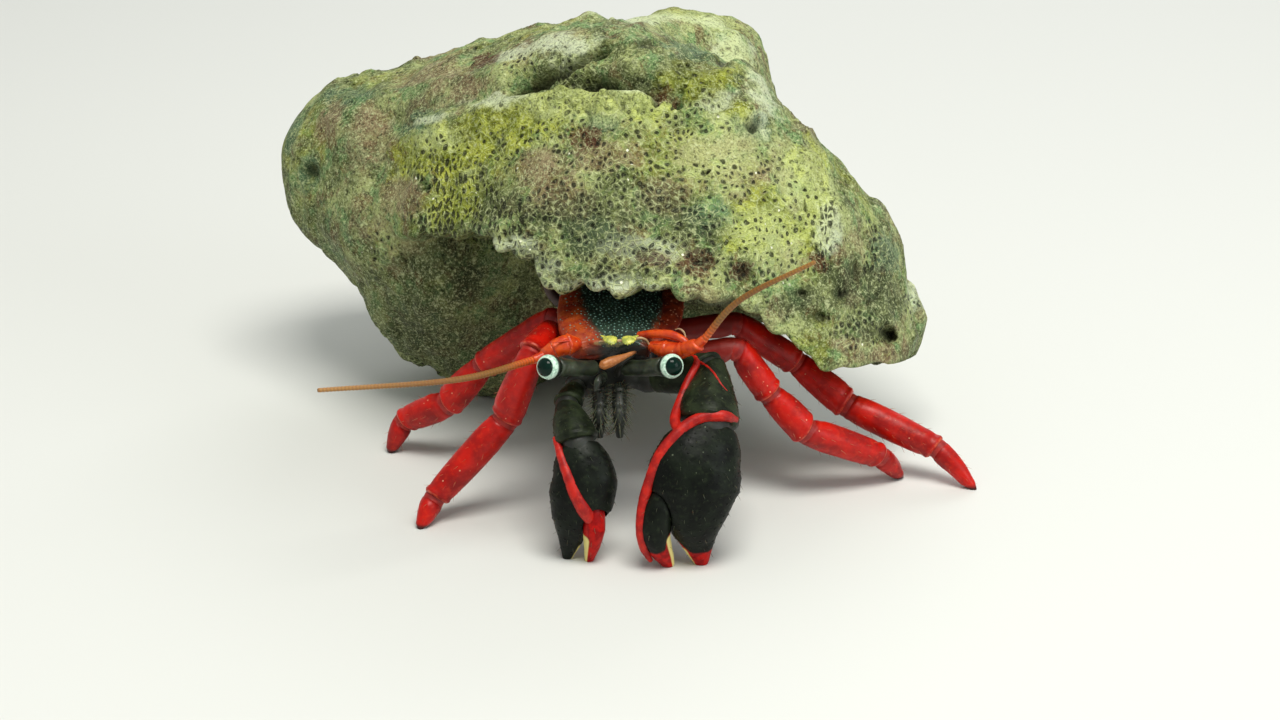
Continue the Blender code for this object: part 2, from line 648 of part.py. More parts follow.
def settle():
    made = [thing for thing in bpy.data.objects if thing.type == "MESH"]
    low = np.min([np.min([v.co[:] for v in thing.data.vertices], axis=0) for thing in made], axis=0)
    high = np.max([np.max([v.co[:] for v in thing.data.vertices], axis=0) for thing in made], axis=0)
    shift = Vector((-(low[0] + high[0]) / 2, -(low[1] + high[1]) / 2, -low[2]))
    for thing in made:
        thing.data.transform(Matrix.Translation(shift))
        thing.data.transform(Matrix.Scale(METRE, 4))


build_shell()
build_shield()
build_thorax()
build_pleon()
build_small_legs()
build_legs()
build_claw("left", CLAW_LEFT, PALM_LEFT, FINGER_LEFT, 1.0)
build_claw("right", CLAW_RIGHT, PALM_RIGHT, FINGER_RIGHT, RIGHT_CLAW_SIZE)
build_eyes()
build_feelers()
build_mouth()
build_ocular_plate()
settle()
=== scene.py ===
# Red-leg hermit crab standing in an encrusted snail shell: its looks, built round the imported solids
import math

import bmesh
import bpy
import numpy as np
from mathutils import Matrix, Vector
from mathutils.bvhtree import BVHTree


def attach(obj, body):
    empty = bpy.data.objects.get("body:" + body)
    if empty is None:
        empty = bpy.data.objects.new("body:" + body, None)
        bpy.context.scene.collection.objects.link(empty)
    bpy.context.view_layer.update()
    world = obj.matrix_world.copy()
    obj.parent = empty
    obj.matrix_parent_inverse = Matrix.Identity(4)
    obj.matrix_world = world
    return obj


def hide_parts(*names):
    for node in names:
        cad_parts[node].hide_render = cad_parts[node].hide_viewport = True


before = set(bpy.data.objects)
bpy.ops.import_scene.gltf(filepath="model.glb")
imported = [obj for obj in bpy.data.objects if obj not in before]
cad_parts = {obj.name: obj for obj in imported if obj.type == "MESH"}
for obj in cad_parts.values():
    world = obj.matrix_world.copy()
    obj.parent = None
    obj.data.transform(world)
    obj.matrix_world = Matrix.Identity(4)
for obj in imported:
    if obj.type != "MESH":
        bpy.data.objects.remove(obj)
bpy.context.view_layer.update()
print("frame loaded:", len(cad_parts), "nodes")

mm = 0.001
crabToFrame = np.array([1.5462, -14.5042, 0.0])   # the crab's own lines are drawn in mm, then moved here


def toFrame(points):
    return (np.asarray(points, float) + crabToFrame) * mm


def intoScene(name, data):
    thing = bpy.data.objects.new(name, data)
    bpy.context.scene.collection.objects.link(thing)
    return thing


# Camera and light

viewSetup = {
    "target": (0.0, 0.0, 11.7),    # mm, in the crab's own lines
    "distance": 170.0,             # mm
    "down": 22.0,                  # degrees below the horizon
    "lens": 76.5,
    "sensor": 36.0,
    "nearest": 0.005,              # m
    "farthest": 5.0,               # m
    "photoWidth": 1280,
    "photoHeight": 720,
}

viewTilt = math.radians(viewSetup["down"])
viewAhead = np.array([0.0, math.cos(viewTilt), -math.sin(viewTilt)])
viewUp = np.array([0.0, math.sin(viewTilt), math.cos(viewTilt)])
viewStart = np.array(viewSetup["target"]) - viewSetup["distance"] * viewAhead


def makeCamera():
    data = bpy.data.cameras.new("photoCamera")
    data.lens = viewSetup["lens"]
    data.sensor_width = viewSetup["sensor"]
    data.clip_start = viewSetup["nearest"]
    data.clip_end = viewSetup["farthest"]
    camera = intoScene("photoCamera", data)
    camera.location = toFrame(viewStart)
    camera.rotation_euler = (math.radians(90.0) - viewTilt, 0.0, 0.0)
    bpy.context.scene.camera = camera


def photoRay(across, down):
    # the way from the camera through a pixel of the photograph, on the crab's own axes
    focal = viewSetup["lens"] / viewSetup["sensor"] * viewSetup["photoWidth"]
    side = (across - viewSetup["photoWidth"] / 2) / focal
    rise = (viewSetup["photoHeight"] / 2 - down) / focal
    return unit(viewAhead + side * np.array([1.0, 0.0, 0.0]) + rise * viewUp)


studio = {
    "sky": (0.90, 0.93, 0.89),
    "skyStrength": 0.46,
    "aim": (0.0, 0.0, 0.01),
    # place and size in metres, power, colour
    "lights": {
        "keyLight": ((0.03, -0.10, 0.29), (0.16, 0.12), 0.8, (1.0, 0.98, 0.91)),
        "fillLight": ((0.24, -0.16, 0.12), (0.16, 0.16), 0.22, (0.93, 0.98, 1.0)),
        "rimLight": ((0.06, 0.26, 0.20), (0.20, 0.10), 0.25, (1.0, 1.0, 1.0)),
    },
    "floor": (0.70, 0.71, 0.69),
    "floorRough": 0.85,
    "floorSize": 1.6,
}


def areaLight(name, place, size, power, colour):
    data = bpy.data.lights.new(name, "AREA")
    data.shape = "RECTANGLE"
    data.size, data.size_y = size
    data.energy = power
    data.color = colour
    lamp = intoScene(name, data)
    lamp.location = place
    lamp.rotation_euler = (Vector(studio["aim"]) - Vector(place)).to_track_quat("-Z", "Y").to_euler()


def makeStudio():
    world = bpy.data.worlds.new("studio")
    world.use_nodes = True
    sky = world.node_tree.nodes["Background"]
    sky.inputs["Color"].default_value = (*studio["sky"], 1.0)
    sky.inputs["Strength"].default_value = studio["skyStrength"]
    bpy.context.scene.world = world
    bpy.context.scene.view_settings.view_transform = "Standard"
    for name, light in studio["lights"].items():
        areaLight(name, *light)
    half = studio["floorSize"] / 2
    corners = [(-half, -half, 0), (half, -half, 0), (half, half, 0), (-half, half, 0)]
    mesh = bpy.data.meshes.new("floor")
    mesh.from_pydata(corners, [], [(0, 1, 2, 3)])
    paint = bpy.data.materials.new("paleFloor")
    paint.use_nodes = True
    shader = paint.node_tree.nodes["Principled BSDF"]
    shader.inputs["Base Color"].default_value = (*studio["floor"], 1.0)
    shader.inputs["Roughness"].default_value = studio["floorRough"]
    mesh.materials.append(paint)
    intoScene("floor", mesh)


makeCamera()
makeStudio()
print("camera and studio set")


# Colours and finishes

def fromPhoto(red, green, blue):
    # a colour as the eye reads it in the photograph, made linear
    values = np.array([red, green, blue], float) / 255.0
    linear = np.where(values <= 0.04045, values / 12.92, ((values + 0.055) / 1.055) ** 2.4)
    return tuple(float(value) for value in linear)


class Finish:
    # one material and short ways to add its nodes

    def __init__(self, name, rough=0.5):
        self.material = bpy.data.materials.new(name)
        self.material.use_nodes = True
        self.tree = self.material.node_tree
        self.shader = self.tree.nodes["Principled BSDF"]
        self.shader.inputs["Roughness"].default_value = rough
        self.place = self.add("ShaderNodeTexCoord").outputs["Object"]

    def add(self, kind, **settings):
        node = self.tree.nodes.new(kind)
        for key, value in settings.items():
            setattr(node, key, value)
        return node

    def feed(self, socket, value):
        if isinstance(value, bpy.types.NodeSocket):
            self.tree.links.new(value, socket)
        elif isinstance(value, tuple) and len(value) == 3 and socket.type == "RGBA":
            socket.default_value = (*value, 1.0)
        else:
            socket.default_value = value

    def noise(self, sizeMm, detail=3.0, rough=0.55, twist=0.0):
        node = self.add("ShaderNodeTexNoise")
        self.feed(node.inputs["Vector"], self.place)
        node.inputs["Scale"].default_value = 1.0 / (sizeMm * mm)
        node.inputs["Detail"].default_value = detail
        node.inputs["Roughness"].default_value = rough
        node.inputs["Distortion"].default_value = twist
        return node.outputs["Fac"]

    def cells(self, sizeMm, feature="F1", loose=1.0, bend=None):
        node = self.add("ShaderNodeTexVoronoi", feature=feature)
        self.feed(node.inputs["Vector"], self.place if bend is None else bend)
        node.inputs["Scale"].default_value = 1.0 / (sizeMm * mm)
        node.inputs["Randomness"].default_value = loose
        return node

    def mark(self, name):
        return self.add("ShaderNodeAttribute", attribute_name=name).outputs["Fac"]

    def sum(self, operation, first, second, clamp=False):
        node = self.add("ShaderNodeMath", operation=operation, use_clamp=clamp)
        self.feed(node.inputs[0], first)
        self.feed(node.inputs[1], second)
        return node.outputs[0]

    def plus(self, first, second):
        return self.sum("ADD", first, second)

    def minus(self, first, second):
        return self.sum("SUBTRACT", first, second)

    def times(self, first, second):
        return self.sum("MULTIPLY", first, second)

    def larger(self, first, second):
        return self.sum("MAXIMUM", first, second)

    def above(self, value, limit):
        return self.sum("GREATER_THAN", value, limit)

    def sway(self, value, share):
        # a noise from 0 to 1 that swings both ways round nothing
        return self.times(self.minus(value, 0.5), share)

    def mottled(self, sizeMm, detail, low, high, first, second, most=1.0):
        return self.mix(self.step(self.noise(sizeMm, detail), low, high, 0.0, most), first, second)

    def specks(self, sizeMm, rarity, outer, inner, bend=None):
        # small round spots in some of the cells
        spots = self.cells(sizeMm, bend=bend)
        chosen = self.above(spots.outputs["Color"], rarity)
        return self.times(self.step(spots.outputs["Distance"], outer, inner), chosen)

    def step(self, value, low, high, fromLow=0.0, fromHigh=1.0):
        node = self.add("ShaderNodeMapRange", interpolation_type="SMOOTHSTEP", clamp=True)
        self.feed(node.inputs["Value"], value)
        node.inputs["From Min"].default_value = low
        node.inputs["From Max"].default_value = high
        node.inputs["To Min"].default_value = fromLow
        node.inputs["To Max"].default_value = fromHigh
        return node.outputs["Result"]

    def mix(self, share, first, second, blend="MIX"):
        node = self.add("ShaderNodeMix", data_type="RGBA", blend_type=blend)
        self.feed(node.inputs[0], share)
        self.feed(node.inputs[6], first)
        self.feed(node.inputs[7], second)
        return node.outputs[2]

    def colour(self, value):
        self.feed(self.shader.inputs["Base Color"], value)

    def rough(self, value):
        self.feed(self.shader.inputs["Roughness"], value)

    def relief(self, height, depthMm, strength):
        node = self.add("ShaderNodeBump")
        node.inputs["Strength"].default_value = strength
        node.inputs["Distance"].default_value = depthMm * mm
        self.feed(node.inputs["Height"], height)
        self.feed(self.shader.inputs["Normal"], node.outputs["Normal"])

    def gloss(self, level):
        self.shader.inputs["Specular IOR Level"].default_value = level

    def flesh(self, weight, depthMm):
        self.shader.inputs["Subsurface Weight"].default_value = weight
        self.shader.inputs["Subsurface Scale"].default_value = depthMm * mm


# Mesh making

def latticeValue(cells, seed):
    # a repeatable number from 0 to 1 for each whole-number cell
    x, y, z = (cells[..., k].astype(np.int64) for k in range(3))
    n = (x * 73856093) ^ (y * 19349663) ^ (z * 83492791) ^ (seed * 961748941)
    n = (n ^ (n >> 13)) & 0x7FFFFFFF
    n = (n * 1274126177) & 0x7FFFFFFFFFFF
    n = n ^ (n >> 17)
    return (n & 0xFFFF) / 65535.0


def waves(points, size, seed):
    # soft noise from -1 to 1 with lumps of that size
    spot = np.asarray(points, float) / size
    cell = np.floor(spot)
    part = spot - cell
    part = part * part * (3 - 2 * part)
    total = 0.0
    for corner in range(8):
        shift = np.array([corner & 1, (corner >> 1) & 1, corner >> 2])
        share = np.prod(np.where(shift == 1, part, 1 - part), axis=-1)
        total = total + share * latticeValue(cell + shift, seed)
    return 2 * total - 1


def roughness(points, size, seed, layers=3, fall=0.5):
    total = 0.0
    height = 1.0
    for layer in range(layers):
        total = total + height * waves(points, size, seed + 17 * layer)
        size = size * 0.5
        height = height * fall
    return total


def nearestSeed(points, size, seed):
    # distance to the nearest of a loose grid of seeds, in units of size, and a number for that seed
    spot = np.asarray(points, float) / size
    cell = np.floor(spot)
    best = np.full(spot.shape[:-1], 9.0)
    label = np.zeros(spot.shape[:-1])
    for dx in (-1, 0, 1):
        for dy in (-1, 0, 1):
            for dz in (-1, 0, 1):
                there = cell + np.array([dx, dy, dz])
                place = np.stack([latticeValue(there, seed + k) for k in (1, 2, 3)], axis=-1)
                away = np.linalg.norm(there + place - spot, axis=-1)
                closer = away < best
                best = np.where(closer, away, best)
                label = np.where(closer, latticeValue(there, seed + 4), label)
    return best, label


def softStep(value, low, high):
    share = np.clip((value - low) / (high - low), 0.0, 1.0)
    return share * share * (3 - 2 * share)


def unit(vector):
    vector = np.asarray(vector, float)
    return vector / np.linalg.norm(vector)


def bulge(value, height, middle, width):
    return height * np.exp(-((value - middle) / width) ** 2)


def grainy(height, size, seed, layers):
    # a fine relief for a piece's surface, of that height and size in mm
    return lambda spots: height * roughness(spots, size, seed, layers)


def meshFrom(name, spots, faces):
    # a mesh from points in metres and lists of corners, with its faces outwards
    mesh = bpy.data.meshes.new(name)
    mesh.from_pydata(spots.tolist(), [], [list(map(int, face)) for face in faces])
    work = bmesh.new()
    work.from_mesh(mesh)
    bmesh.ops.recalc_face_normals(work, faces=work.faces)
    if work.calc_volume(signed=True) < 0:
        bmesh.ops.reverse_faces(work, faces=work.faces)
    work.to_mesh(mesh)
    work.free()
    return mesh


def putMark(mesh, name, values):
    values = np.asarray(values, np.float32)
    kind, field = ("FLOAT", "value") if values.ndim == 1 else ("FLOAT_VECTOR", "vector")
    layer = mesh.attributes.get(name) or mesh.attributes.new(name, kind, "POINT")
    layer.data.foreach_set(field, values.ravel())


def addPiece(name, points, faces, finish, marks=None):
    # points in mm in the crab's own lines
    mesh = meshFrom(name, toFrame(points), faces)
    for key, values in (marks or {}).items():
        putMark(mesh, key, values)
    mesh.shade_smooth()
    mesh.materials.append(finish.material)
    return intoScene(name, mesh)


def spotsOf(thing):
    spots = np.empty(len(thing.data.vertices) * 3)
    thing.data.vertices.foreach_get("co", spots)
    return spots.reshape(-1, 3) / mm - crabToFrame


made = {}


def standFor(thing, *nodes):
    made[thing.name] = thing
    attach(thing, "root")
    if nodes:
        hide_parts(*nodes)
    return thing


def wallFaces(rings, sides):
    level = np.arange(rings - 1)[:, None] * sides
    side = np.arange(sides)[None, :]
    after = (side + 1) % sides
    quads = np.stack([level + side, level + after, level + sides + after, level + sides + side], axis=-1)
    return quads.reshape(-1, 4).tolist()


def closedTube(grid):
    # grid of rings by sides by 3; gives points and faces with a fan at each end
    rings, sides = grid.shape[:2]
    points = np.concatenate([grid.reshape(-1, 3), grid[0].mean(0)[None], grid[-1].mean(0)[None]])
    faces = wallFaces(rings, sides)
    first = rings * sides
    top = (rings - 1) * sides
    for side in range(sides):
        after = (side + 1) % sides
        faces.append([first, after, side])
        faces.append([first + 1, top + side, top + after])
    return points, faces


def curveThrough(points, steps):
    points = [np.array(p, float) for p in points]
    if len(points) == 2:
        return np.linspace(points[0], points[1], steps + 1)
    ends = [2 * points[0] - points[1]] + points + [2 * points[-1] - points[-2]]
    line = []
    for span in range(len(points) - 1):
        a, b, c, d = ends[span:span + 4]
        for step in range(steps):
            u = step / steps
            line.append(0.5 * (2 * b + (c - a) * u + (2 * a - 5 * b + 4 * c - d) * u * u
                               + (3 * b - a - 3 * c + d) * u ** 3))
    line.append(points[-1])
    return np.array(line)


sweepForm = {
    "steps": 24,
    "crowded": 0.62,         # share of the rings that crowd towards both ends
    "even": 0.38,
    "shoulder": 0.86,
    "shoulderLength": 0.45,  # in widths
    "look": 0.2,             # mm ahead and behind, for the way of the line
    "cutLength": 2.4,        # in widths
    "cutLeast": 0.3,         # mm
}


def endRound(away, width, shoulder):
    # rounded shoulder of a plate's end, 1 past it
    share = np.clip(away / (sweepForm["shoulderLength"] * width), 0.0, 1.0)
    return shoulder + (1 - shoulder) * np.sqrt(1 - (1 - share) ** 2)


def sweep(path, fractions, widths, sides, rings, side=(0, 0, 1), deep=1.0, startCut=None, endCut=None,
          shape=None, shoulder=sweepForm["shoulder"]):
    # a plate of the crab along a line: the grid, each ring's place and way, and each corner's angle
    line = curveThrough(path, sweepForm["steps"])
    lengths = np.concatenate([[0.0], np.cumsum(np.linalg.norm(np.diff(line, axis=0), axis=1))])
    total = lengths[-1]
    turn = np.linspace(0.0, math.pi, rings)
    place = total * (sweepForm["crowded"] * (0.5 - 0.5 * np.cos(turn))
                     + sweepForm["even"] * np.linspace(0.0, 1.0, rings))
    share = endRound(place, widths[0], shoulder) * endRound(total - place, widths[-1], shoulder)

    def along(where):
        return np.stack([np.interp(where, lengths, line[:, k]) for k in range(3)], axis=-1)

    centres = along(place)
    look = sweepForm["look"]
    ways = along(np.minimum(place + look, total)) - along(np.maximum(place - look, 0.0))
    ways = ways / np.linalg.norm(ways, axis=1)[:, None]
    across = np.cross(ways, np.array(side, float))
    across = across / np.linalg.norm(across, axis=1)[:, None]
    upward = np.cross(across, ways)
    angles = 2 * math.pi * np.arange(sides) / sides
    half = (share * np.interp(place / total, fractions, widths))[:, None] * np.ones(sides)[None, :]
    if shape is not None:
        half = half + shape(place[:, None], total, angles[None, :])
    offset = half[..., None] * (np.cos(angles)[None, :, None] * across[:, None, :]
                                + np.sin(angles)[None, :, None] * upward[:, None, :] * deep)
    for cut, away, width in ((startCut, place, widths[0]), (endCut, total - place, widths[-1])):
        if cut is not None:
            cut = np.array(cut, float)
            hold = np.clip(1 - away / (sweepForm["cutLength"] * max(width, sweepForm["cutLeast"])), 0.0, 1.0)
            slide = (offset @ cut) / (ways @ cut)[:, None] * hold[:, None]
            offset = offset - ways[:, None, :] * slide[..., None]
    grid = centres[:, None, :] + offset
    return {"grid": grid, "place": place, "total": total, "angles": angles, "ways": ways}


def swept(name, finish, form, marks=None, relief=None):
    # closes a sweep into a piece, with marks given as arrays of rings by sides, or one value for each ring
    grid = form["grid"]
    rings, sides = grid.shape[:2]
    points, faces = closedTube(grid)
    given = {"along": form["place"][:, None] / form["total"] * np.ones(sides),
             "fromStart": form["place"][:, None] * np.ones(sides),
             "fromEnd": (form["total"] - form["place"])[:, None] * np.ones(sides)}
    given["grow"] = softStep(given["fromStart"], 0.3, 0.45) * softStep(given["fromEnd"], 0.3, 0.45)
    given.update(marks or {})
    ready = {}
    for key, values in given.items():
        values = np.asarray(values, float) * np.ones((rings, sides))
        ready[key] = np.concatenate([values.ravel(), [values[0].mean()], [values[-1].mean()]])
    flow = np.repeat(form["ways"], sides, axis=0)
    ready["flow"] = np.concatenate([flow, form["ways"][:1], form["ways"][-1:]])
    if relief is not None:
        centre = np.repeat(grid.mean(axis=1), sides, axis=0)
        outward = points[:-2] - centre
        outward = outward / np.maximum(np.linalg.norm(outward, axis=1), 1e-6)[:, None]
        points[:-2] = points[:-2] + outward * relief(points[:-2])[:, None]
    points[:, 2] = np.maximum(points[:, 2], 0.0)
    return addPiece(name, points, faces, finish, ready)


# Shell: a worn spiral snail shell under a thick pitted crust

shellForm = {
    "tip": (-25.2, 30.0, 17.2),
    "canal": (19.2, 15.0, 7.4),
    "lipRise": 13.0,
    "growth": 2.1,
    "crust": 1.6,
    "crustAtTip": (0.9, 3, 7),
    "turns": 5,
    "blend": 0.9,
    "endRounds": (2.5, 3.0),
    "ripples": [(0.22, 0.9, 3.1, 0.0), (0.18, -0.55, 5.0, 1.3)],
    "drop": 0.55,
    "lipAlong": [9.0, 11.0, 14.0, 19.0, 25.0, 30.0, 35.0, 40.0, 44.0, 47.0, 49.0],
    "lipRadius": [0.0, 7.6, 10.4, 14.0, 17.2, 18.2, 16.8, 13.4, 9.6, 6.4, 2.0],
    "widest": 30.0,
    "canalFade": (300.0, 110.0, 0.62),
    "seamAlong": [0.0, 14.0, 17.7, 21.0, 23.0, 25.0, 26.6, 29.5, 32.6, 35.5, 39.0, 43.5, 48.0],
    "seamTurn": [14.0, 12.0, 4.0, 0.2, 1.0, 2.4, 5.6, 2.6, 0.0, -2.0, -1.7, 10.0, 10.0],
    "scallop": (0.9, 1.45, 0.6),
    "lobes": (0.9, 1.75, 0.4),
    "lumps": [(50, 14, 28, 14, 1.9), (108, 19, 28.8, 5.5, 2.3), (79, 11, 30, 9, -1.3), (255, 55, 17, 9, 1.3),
              (108, 26, 20, 5, -1.5), (100, 28, 35, 4, -1.3), (95, 40, 44.5, 3.5, 2.5), (165, 18, 26, 8, 1.5),
              (225, 16, 21, 7, 0.9)],
    "hollow": [(16.6, 10.9), (18.0, 12.3), (21.0, 14.2), (25.5, 16.3), (30.0, 16.9), (34.5, 15.5),
               (38.5, 12.4), (41.5, 8.8), (42.6, 5.8), (41.0, 4.2), (36.0, 3.6), (30.0, 3.6),
               (26.0, 4.0), (23.0, 5.4), (20.5, 7.4), (18.2, 9.4)],
    "hollowTurns": (27.0, -235.0),
    "sides": 380,
    "rings": 190,
    "hollowRings": 120,
    "edgeRound": 0.45,
    "foldLimits": (-1.6, 0.95),
    "wrap": 356.0,                 # degrees that the grid covers
    "firstRow": 0.35,
    "rowsShort": 0.47,
    "crowding": (0.62, 0.38, 2.6),
    "closing": (9.0, 15.0),        # where the last turn runs into the first
    "closingTurn": 1.3,
    "bareTip": (0.3, 3.0),
    "bareCanal": (0.2, 2.0),
}


def shellAxis():
    tip = np.array(shellForm["tip"])
    axis = np.array(shellForm["canal"]) - tip
    length = float(np.linalg.norm(axis))
    axis = axis / length
    rise = math.radians(shellForm["lipRise"])
    lip = np.array([0.0, -math.cos(rise), math.sin(rise)])
    lip = unit(lip - (lip @ axis) * axis)
    return tip, axis, length, lip, np.cross(axis, lip)


shellTip, shellWay, shellLength, lipSide, growthSide = shellAxis()


def turnScale(turned):
    return shellForm["growth"] ** (-turned / (2 * math.pi))


def blendMax(values, soft):
    best = values[0]
    for value in values[1:]:
        share = np.clip(0.5 + 0.5 * (best - value) / soft, 0, 1)
        best = value + (best - value) * share + soft * share * (1 - share)
    return best


def shellRadius(back, along):
    # how far the crust reaches from the axis, that far back from the lip
    fadeEnd, fade, most = shellForm["canalFade"]
    widest = shellForm["widest"]
    degrees = np.degrees(back)
    turns = []
    for turn in range(shellForm["turns"]):
        scale = turnScale(back + 2 * math.pi * turn)
        place = along / scale
        if turn == 0:
            here = widest * scale
            drawn = widest + (along - here) * (shellLength - widest) / (shellLength - here)
            hold = most * np.clip((fadeEnd - degrees) / fade, 0.0, 1.0)
            place = np.where(along > here, place + (drawn - place) * hold, place)
        reach = np.interp(place, shellForm["lipAlong"], shellForm["lipRadius"], left=0.0, right=0.0)
        turns.append(scale * reach)
    tipRound, canalRound = shellForm["endRounds"]
    ends = np.sqrt(np.clip(1 - (np.maximum(0, tipRound - along) / tipRound) ** 2, 0, 1))
    ends = ends * np.sqrt(np.clip((shellLength - along) / canalRound, 0, 1))
    crust = shellForm["crust"] * ends * (1 + bulge(along, *shellForm["crustAtTip"]))
    lumps = 0.0
    for centre, wide, place, length, height in shellForm["lumps"]:
        lumps = lumps + height * np.exp(-(((degrees - centre) / wide) ** 2) - ((along - place) / length) ** 2)
    ripple = sum(height * np.sin(rate * along + turnRate * back + phase)
                 for height, rate, turnRate, phase in shellForm["ripples"])
    return blendMax(turns, shellForm["blend"]) + crust + lumps + ripple * ends


def shellSpot(turned, along, radius):
    side = np.cos(turned)[..., None] * lipSide + np.sin(turned)[..., None] * growthSide
    spot = shellTip + along[..., None] * shellWay + radius[..., None] * side
    spot[..., 2] -= shellForm["drop"]
    return spot


def seamTurn(along):
    # where the lip's edge lies round the axis: its own line, slow scallops and small round lobes
    most, rate, phase = shellForm["scallop"]
    small, smallRate, smallPhase = shellForm["lobes"]
    lobes = small * (2 * np.abs(np.sin(smallRate * along + smallPhase)) - 1)
    wave = most * np.sin(rate * along + phase) + lobes
    return np.radians(np.interp(along, shellForm["seamAlong"], shellForm["seamTurn"]) + wave)


def onShell(solid, across, down):
    # where the line from the camera through a pixel of the photograph meets the shell, in mm
    hit = solid.ray_cast(Vector(viewStart), Vector(photoRay(across, down)))[0]
    return None if hit is None else np.array(hit)


# Patches of the crust and of painted light and shade on it, by their pixel in the photograph and their half
# sizes in mm
shellPatches = {
    "film": [
        (420, 158, 2.6, 1.3), (470, 145, 3.4, 1.9), (520, 125, 3.2, 1.6), (575, 98, 3.4, 1.0),
        (640, 108, 2.2, 0.8), (812, 170, 1.3, 1.9), (815, 215, 1.3, 2.2), (765, 215, 2.4, 1.9),
        (745, 240, 1.6, 1.2), (700, 75, 2.4, 1.4), (455, 195, 2.0, 2.2), (735, 108, 1.8, 0.8),
        (300, 92, 0.9, 0.6),
    ],
    "mauve": [
        (405, 195, 2.0, 1.6), (715, 150, 3.0, 1.1), (745, 172, 2.0, 1.0), (600, 155, 3.2, 1.2),
        (540, 165, 1.9, 1.7), (430, 75, 3.0, 1.2), (470, 88, 2.2, 0.8), (330, 120, 1.2, 1.6),
        (370, 118, 1.4, 1.2), (560, 195, 2.6, 1.4), (660, 195, 2.2, 1.2), (880, 355, 1.8, 0.7),
        (850, 345, 1.4, 0.6),
    ],
    "redBrown": [
        (700, 262, 1.5, 0.9), (742, 270, 1.3, 0.8), (485, 62, 1.3, 0.9), (820, 262, 0.9, 0.7),
        (665, 90, 1.6, 0.7), (650, 258, 1.3, 0.6), (585, 140, 1.4, 0.7), (695, 290, 1.2, 0.5),
    ],
    "teal": [
        (605, 122, 1.4, 0.8), (755, 128, 2.0, 1.1), (885, 250, 1.8, 1.4), (560, 95, 1.2, 0.5),
        (720, 215, 1.1, 1.1), (775, 200, 1.0, 1.0), (690, 48, 2.0, 0.9), (345, 95, 2.4, 1.0),
        (312, 172, 1.0, 1.3), (292, 135, 0.8, 1.6), (430, 125, 2.8, 1.0), (590, 235, 2.2, 1.3),
        (700, 215, 1.0, 1.2),
    ],
    "pale": [
        (515, 54, 2.2, 0.6), (650, 20, 4.2, 0.8), (700, 22, 3.0, 0.8), (735, 55, 1.4, 2.2),
        (765, 100, 1.2, 2.6), (560, 45, 3.4, 1.0), (715, 97, 2.0, 0.8), (640, 92, 1.8, 0.5),
        (500, 100, 2.6, 0.7), (600, 285, 4.0, 0.7), (510, 245, 2.4, 0.7), (545, 265, 1.6, 0.7),
        (720, 300, 2.4, 0.5), (830, 230, 0.8, 2.2), (915, 290, 1.0, 1.6), (640, 250, 3.0, 1.0),
        (430, 122, 1.6, 0.35),
    ],
    "smooth": [
        (345, 130, 5.6, 4.0), (320, 230, 5.0, 6.0), (715, 148, 2.6, 1.0), (405, 195, 1.7, 1.4),
        (540, 165, 1.4, 1.4), (690, 25, 6.0, 1.8), (605, 122, 1.2, 0.6), (430, 85, 4.5, 2.0),
        (560, 42, 2.6, 0.8), (755, 90, 2.2, 3.4), (850, 240, 1.2, 3.4),
    ],
    # painted shade: patches darkened where the crust lies in shadow, on the lower lip, the hollow below it
    # and the middle
    "shade": [
        (630, 205, 4.5, 1.8), (875, 300, 2.4, 2.6), (530, 258, 3.0, 0.9), (590, 245, 3.6, 1.0),
        (600, 272, 4.0, 0.7), (470, 232, 2.5, 0.9), (430, 260, 3.4, 2.0), (470, 265, 2.8, 1.6),
        (690, 60, 2.6, 1.0), (600, 75, 3.4, 0.7), (865, 320, 2.4, 1.8), (560, 215, 3.6, 1.6),
        (340, 300, 6.0, 6.0), (385, 350, 5.0, 5.0), (430, 320, 4.0, 4.0), (500, 205, 2.4, 1.8),
        (800, 300, 2.8, 1.0), (620, 215, 3.6, 1.6), (690, 225, 2.6, 1.4), (850, 285, 2.0, 2.0),
        (600, 250, 4.0, 1.0),
    ],
    "streak": [
        (440, 205, 4.0, 3.2), (480, 225, 3.6, 2.4), (850, 250, 2.2, 4.0),
    ],
    "porous": [
        (620, 190, 7.0, 5.0), (450, 190, 4.5, 3.4), (540, 230, 6.0, 2.6), (640, 250, 6.0, 2.4),
        (740, 200, 3.6, 4.0), (740, 265, 5.0, 1.6), (540, 150, 4.0, 2.2), (800, 230, 2.6, 3.6),
        (680, 130, 3.6, 1.2), (860, 330, 2.0, 1.4), (600, 290, 4.0, 0.8), (520, 62, 1.6, 0.7),
    ],
    # painted light: patches lightened where the key light falls full on the ridge, the plateau and the film
    # on the right
    "light": [
        (560, 104, 3.4, 1.0), (620, 108, 3.8, 1.1), (720, 155, 3.4, 2.2), (805, 185, 2.2, 3.2),
        (765, 235, 2.6, 2.0), (690, 20, 4.0, 1.0), (735, 60, 1.2, 2.4), (440, 140, 2.2, 0.8),
    ],
}
